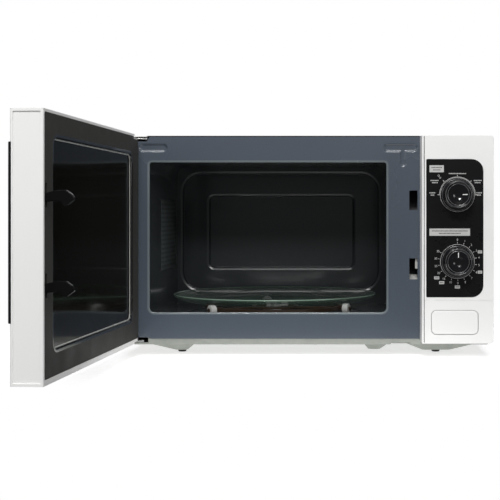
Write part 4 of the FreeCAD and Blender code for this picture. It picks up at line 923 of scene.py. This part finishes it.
# The labels are print; the rings that share their finish are painted highlights.
piece("dial_labels_and_ring_glints", labels + rings, M["print_dim_and_ring_glint"], "white_plastic", "oven")


def dark_line(x, z, width, count):
    """A row of dark dashes on a pale label."""
    pitch = width / count
    left = x - width / 2
    spans = [(left + pitch * (i + INK_FROM), left + pitch * (i + INK_TO)) for i in range(count)]
    return [moulding(span, (z - INK_HALF, z + INK_HALF), 0.1, [(0, PRINT), (0, INK)], along_y(oven),
                     False, True, 1) for span in spans]


ink = []
for x, z, width in INK_LINES:
    ink += dark_line(x, z, width, max(round(width / INK_PITCH), 3))
piece("label_ink", ink, M["overlay"], "overlay_print", "oven")

# ---- dial knobs ---------------------------------------------------------------------------------
KNOB_BACK = OVERLAY - 0.5
TO_FRONT = (0, -1, 0)
KNOB_FLANK = [(19.1, 0, 0), (19.5, 0.3, 0.3), (19.5, 2.4, 0.6), (18.2, 3.3, 0.8), (17.7, 3.5, 0.3),
              (17.3, 6.0, 0.3), (17.1, 6.3, 0.2), (17.0, 9.0, 0.2), (16.8, 9.3, 0.2), (16.4, 13.3, 0.6),
              (15.6, 14.3, 0.7), (14.2, 14.4, 0.5), (13.2, 13.5, 0.6), (12.4, 13.2, 0.4), (8.4, 12.7, 1.0),
              (6.2, 12.6, 0.6), (4.2, 11.7, 1.5), (0, 11.2, 0)]
KNOB_BEADS = ((18.2, 3.35), (14.9, 14.35), (12.4, 13.2))    # radius, height
KNOB_COUNT = 144


def bead_profile(r, h):
    """A fine ring that stands out of the knob by a fifth of a millimetre."""
    return [(r - 0.2, h - 0.1), (r - 0.2, h + 0.1), (r, h + 0.2), (r + 0.2, h + 0.1), (r + 0.2, h - 0.1),
            (r - 0.2, h - 0.1)]


def knob(name, z, body, node, pointer):
    """A dial knob: skirt, ringed flank, rounded rim, dished face with a dimple and a pale pointer."""
    centre = (DIAL_X, KNOB_BACK, z)
    shape = revolve(soften(KNOB_FLANK, 5), centre, TO_FRONT, KNOB_COUNT)
    # The fine beads take a grey far paler than the knob: painted highlights that stand for thin bright rings round its
    # flank and rim.
    bead_glints = [revolve(bead_profile(r, h), centre, TO_FRONT, KNOB_COUNT) for r, h in KNOB_BEADS]
    piece(name, [shape], M["knob"], "black_plastic", body, [node])
    piece(name + "_bead_glints", bead_glints, M["bead_glint_grey"], "black_plastic", body)
    a = math.radians(pointer)

    def on_face(u, v, d):
        return oven(DIAL_X + u * math.cos(a) - v * math.sin(a), KNOB_BACK - d,
                    z + u * math.sin(a) + v * math.cos(a))

    bar_path = soften([(0, 11.9, 0), (0, 13.15, 0.15), (0.3, 13.15, 0)], 3)
    bar = moulding((4.9, 10.6), (-0.5, 0.5), 0.25, bar_path, on_face, False, True, 4)
    piece(name + "_pointer", [bar], M["pointer"], "white_plastic", body)


knob("power_dial", POWER_Z, "power", "power_knob", 0)
knob("timer_dial", TIMER_Z, "timer", "timer_knob", 90)

# ---- inner side of the door ---------------------------------------------------------------------
COVER_X, COVER_Z = (-205.5, 131.5), (22.3, 260.7)
COVER_TOP = 258.0                 # top of the cover beside the upper hinge, and of its skirt
COVER_STEP_X, COVER_LEFT = -194.3, -217.3
WINDOW_X, WINDOW_Z, WINDOW_R = (-186.5, 104.5), (46.3, 239.1), 9.0
WINDOW_CORNER = 12
ROLL = 3.6                        # radius of the cover's edge round the window
INNER = -2.0                      # Y of the cover's face, with the door shut
HOOK_X, HOOK_TOPS = (124.4, 129.6), (191.0, 110.0)
FILM_X, FILM_Z, FILM_BOW = (-189.5, 112.5), (38.3, 247.1), 0.7
FILM_DEPTH, FILM_BACK, FILM_STEP = 2.52, 3.3, 5.0


def in_door(x, z, depth):
    """A point at a depth inside the door's inner face."""
    return door(x, INNER - depth, z)


def film_bow(x, z):
    """How far the thin film bulges into the window, in millimetres."""
    across = 2 * (x - FILM_X[0]) / (FILM_X[1] - FILM_X[0]) - 1
    up = 2 * (z - FILM_Z[0]) / (FILM_Z[1] - FILM_Z[0]) - 1
    return FILM_BOW * (1 - across ** 2) * (1 - up ** 2)


hook_slots = [ring(HOOK_X, (top - 15.5, top + 6.5), 0.6) for top in HOOK_TOPS]
cover_outline = [(COVER_X[0], COVER_Z[0]), (COVER_X[1], COVER_Z[0]), (COVER_X[1], COVER_Z[1]),
                 (COVER_STEP_X, COVER_Z[1]), (COVER_STEP_X, COVER_TOP), (COVER_LEFT, COVER_TOP),
                 (COVER_LEFT, COVER_Z[0])]
window_hole = ring(WINDOW_X, WINDOW_Z, WINDOW_R, -ROLL, WINDOW_CORNER)
cover_face = sheet(cover_outline, hook_slots, [window_hole], in_door, 2.5, 0.4)
skirt = moulding(COVER_X, (COVER_Z[0], COVER_TOP), 2.0, [(0, 1.0), (0, 10.5), (1.8, 10.5), (1.8, 1.0)],
                 in_door, False, False, 5)
bezel_path = soften([(-ROLL, 0, 0), (0, 0.15, ROLL), (0.8, 2.6, 0)], 10)
recess = moulding(WINDOW_X, WINDOW_Z, WINDOW_R, bezel_path, in_door, corner=WINDOW_CORNER)
# The pale ring round the window is a painted glint: light grey where the clear sheet's edge catches the light.
rim = moulding(WINDOW_X, WINDOW_Z, WINDOW_R, [(0.3, 2.56), (0.3, 2.0), (1.6, 2.0), (1.6, 2.56)],
               in_door, corner=WINDOW_CORNER)
film_skin = relief(FILM_X, FILM_Z, FILM_STEP, film_bow, lambda x, z, d: door(x, INNER - FILM_DEPTH + d, z))
film_edge = moulding(FILM_X, FILM_Z, 0.02, [(0, FILM_DEPTH), (0, FILM_BACK)], in_door,
                     cap_last=True, corner=1)
piece("inner_cover", [cover_face, skirt], M["inner_black"], "inner_door_black", "door", ["choke_cover"])
piece("window_bezel", [recess], M["bezel"], "inner_door_black", "door")
piece("window_glint_rim", [rim], M["painted_glint_grey"], "window_film", "door")
piece("gloss_window", [film_skin, film_edge], M["window_film"], "window_film", "door", ["door_film"])

# ---- outer side of the door ---------------------------------------------------------------------
pane_path = soften([(0.4, -31.2, 0), (0, -31.2, 0.2), (0, -34.2, 1.0), (2.0, -34.2, 0)], 6)
pane = moulding((-208.0, 134.4), (72.4, 234.1), (14.0, 1.0, 1.0, 14.0), pane_path, along_y(door),
                True, True, 12)
piece("black_outer_pane", [pane], M["door_pane"], "door_pane", "door", ["door_glass"])

# ---- springs ------------------------------------------------------------------------------------
COIL_STEPS, COIL_TURNS = 24, 9
# Joint and node prefix, body, start, axis, side, coil radius, wire radius, length, place function.
SPRINGS = (("hook", "door", (126.6, -8.4, 201.6), (0, 0, 1), (1, 0, 0), 1.9, 0.35, 25.6, door),
           ("button", "oven", (188.0, -31.3, 43.0), (0, 1, 0), (1, 0, 0), 2.4, 0.4, 23.8, oven))


def coil(start, axis, side, radius, wire, length, turns, place):
    """A compression spring from start along axis, its ends level."""
    axis, side = Vector(axis), Vector(side)
    other = axis.cross(side)
    steps = turns * COIL_STEPS
    rings = []
    for i in range(steps + 1):
        a = math.radians(360 / COIL_STEPS * i)
        out = side * math.cos(a) + other * math.sin(a)
        middle = Vector(start) + out * radius + axis * (wire + (length - 2 * wire) * i / steps)
        rings.append([place(*(middle + out * wire * math.cos(b) + axis * wire * math.sin(b)))
                      for b in (math.radians(45 * k) for k in range(8))])
    return loft(rings, True, True)


for name, body, start, axis, side, radius, wire, length, place in SPRINGS:
    turned = coil(start, axis, side, radius, wire, length, COIL_TURNS, place)
    spring = piece(name + "_coil", [turned], M["steel"], "shaft_steel", body, [name + "_spring"])
    slide = next(j for j in frame["joints"] if j["name"].startswith(name))
    travel = max(slide["range_m"]) / MM
    far_end = Vector(start) + Vector(axis) * length
    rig.squash(spring, slide["name"], axis, place(*far_end), 1 - travel / length)

# ---- eased edges on the CAD's own shapes --------------------------------------------------------
EASED = (("door_frame", 0.7), ("control_panel", 0.35), ("door_button", 0.3), ("latch_hooks", 0.6),
         ("outer_cabinet", 0.3), ("base_plate", 0.5), ("rubber_feet", 0.4), ("upper_hinge", 0.4),
         ("lower_hinge", 0.4), ("rear_spacer", 0.3), ("cord_gland", 0.3), ("coupler", 0.4),
         ("cavity_wrap", 0.35), ("latch_bracket", 0.3), ("rear_panel", 0.2))
for node, width in EASED:
    ease(node, width)

# ---- floor --------------------------------------------------------------------------------------
FLOOR_HALF = 12
FLOOR_GLOW = 0.60
FADE_X, FADE_Y, FADE_MIDDLE_Y = 0.25, 0.21, 0.16    # metres: the oval that the floor fades out from
FADE_FROM, FADE_TO = 1.0, 2.1                       # times the oval's size


def fade_out(mat):
    """Makes the material clear away from the oven."""
    nodes, links = mat.node_tree.nodes, mat.node_tree.links
    from_oven = nodes.new("ShaderNodeVectorMath")
    from_oven.operation = "MULTIPLY_ADD"
    from_oven.inputs[1].default_value = (1 / FADE_X, 1 / FADE_Y, 0)
    from_oven.inputs[2].default_value = (0, -FADE_MIDDLE_Y / FADE_Y, 0)
    links.new(first_of(nodes, "TEX_COORD").outputs["Object"], from_oven.inputs[0])
    far = nodes.new("ShaderNodeVectorMath")
    far.operation = "LENGTH"
    links.new(from_oven.outputs["Vector"], far.inputs[0])
    fade = nodes.new("ShaderNodeMapRange")
    fade.interpolation_type = "SMOOTHSTEP"
    fade.inputs["From Min"].default_value = FADE_FROM
    fade.inputs["From Max"].default_value = FADE_TO
    links.new(far.outputs["Value"], fade.inputs["Value"])
    clear = nodes.new("ShaderNodeBsdfTransparent")
    blend = nodes.new("ShaderNodeMixShader")
    links.new(fade.outputs["Result"], blend.inputs["Fac"])
    links.new(first_of(nodes, "BSDF_PRINCIPLED").outputs["BSDF"], blend.inputs[1])
    links.new(clear.outputs["BSDF"], blend.inputs[2])
    links.new(blend.outputs["Shader"], first_of(nodes, "OUTPUT_MATERIAL").inputs["Surface"])


floor_data = bpy.data.meshes.new("floor")
floor_data.from_pydata([(-FLOOR_HALF, -FLOOR_HALF, 0), (FLOOR_HALF, -FLOOR_HALF, 0),
                        (FLOOR_HALF, FLOOR_HALF, 0), (-FLOOR_HALF, FLOOR_HALF, 0)], [], [(0, 1, 2, 3)])
floor = bpy.data.objects.new("floor", floor_data)
bpy.context.collection.objects.link(floor)
sweep = finish("pale_floor", (0.60, 0.60, 0.60), 0.6, tint=0.005, vary=0.02, bump=0.0, specular=0.2)
surface = first_of(sweep.node_tree.nodes, "BSDF_PRINCIPLED")
surface.inputs["Emission Color"].default_value = (1, 1, 1, 1)
surface.inputs["Emission Strength"].default_value = FLOOR_GLOW
fade_out(sweep)
floor.data.materials.append(sweep)
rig.stage(floor)

# ---- light --------------------------------------------------------------------------------------
# The surroundings are white to the camera, and dim for all other rays.
DIM, WHITE = 0.13, 1.0
world = bpy.data.worlds.new("studio")
bpy.context.scene.world = world
world.use_nodes = True
sky = world.node_tree.nodes["Background"]
sky.inputs["Color"].default_value = (1, 1, 1, 1)
seen = world.node_tree.nodes.new("ShaderNodeLightPath")
bright = world.node_tree.nodes.new("ShaderNodeMapRange")
bright.inputs["To Min"].default_value = DIM
bright.inputs["To Max"].default_value = WHITE
world.node_tree.links.new(seen.outputs["Is Camera Ray"], bright.inputs["Value"])
world.node_tree.links.new(bright.outputs["Result"], sky.inputs["Strength"])


def lamp_area(name, at, toward, size, power):
    """A rectangular lamp; places and sizes in metres, power in watts."""
    data = bpy.data.lights.new(name, "AREA")
    data.shape = "RECTANGLE"
    data.size, data.size_y = size
    data.energy = power
    obj = bpy.data.objects.new(name, data)
    bpy.context.collection.objects.link(obj)
    obj.location = at
    obj.rotation_mode = "QUATERNION"
    obj.rotation_quaternion = (Vector(toward) - Vector(at)).to_track_quat("-Z", "Y")


OVEN_MIDDLE = (0, 0, 0.15)
lamp_area("overhead", (0, 0.1, 2.4), (0, 0.1, 0), (2.4, 1.2), 27)
lamp_area("key", (-0.15, -1.7, 1.9), OVEN_MIDDLE, (0.9, 0.25), 37)
lamp_area("front", (0.1, -2.4, 1.1), OVEN_MIDDLE, (1.2, 0.24), 11)
lamp_area("back", (0.2, 2.4, 1.6), OVEN_MIDDLE, (1.4, 0.7), 16)
lamp_area("left", (-2.3, -1.6, 0.9), OVEN_MIDDLE, (0.6, 1.2), 15)
lamp_area("right", (2.4, -1.6, 0.9), OVEN_MIDDLE, (0.6, 1.2), 15)

# ---- camera -------------------------------------------------------------------------------------
camera = bpy.data.objects.new("camera", bpy.data.cameras.new("camera"))
bpy.context.collection.objects.link(camera)
camera.location = oven(45.5, -1370, 170)
camera.rotation_euler = (math.radians(90), 0, 0)
camera.data.sensor_width = 36
camera.data.lens = 82.2
camera.data.shift_x = -0.189
camera.data.shift_y = -0.0726
camera.data.clip_start = 0.05
camera.data.clip_end = 60
bpy.context.scene.camera = camera
bpy.context.scene.view_settings.view_transform = "Standard"

size = {"cad": [list(p) for p in cad_box], "visual": [list(p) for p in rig.bounds()]}
json.dump(size, open("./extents.json", "w"))
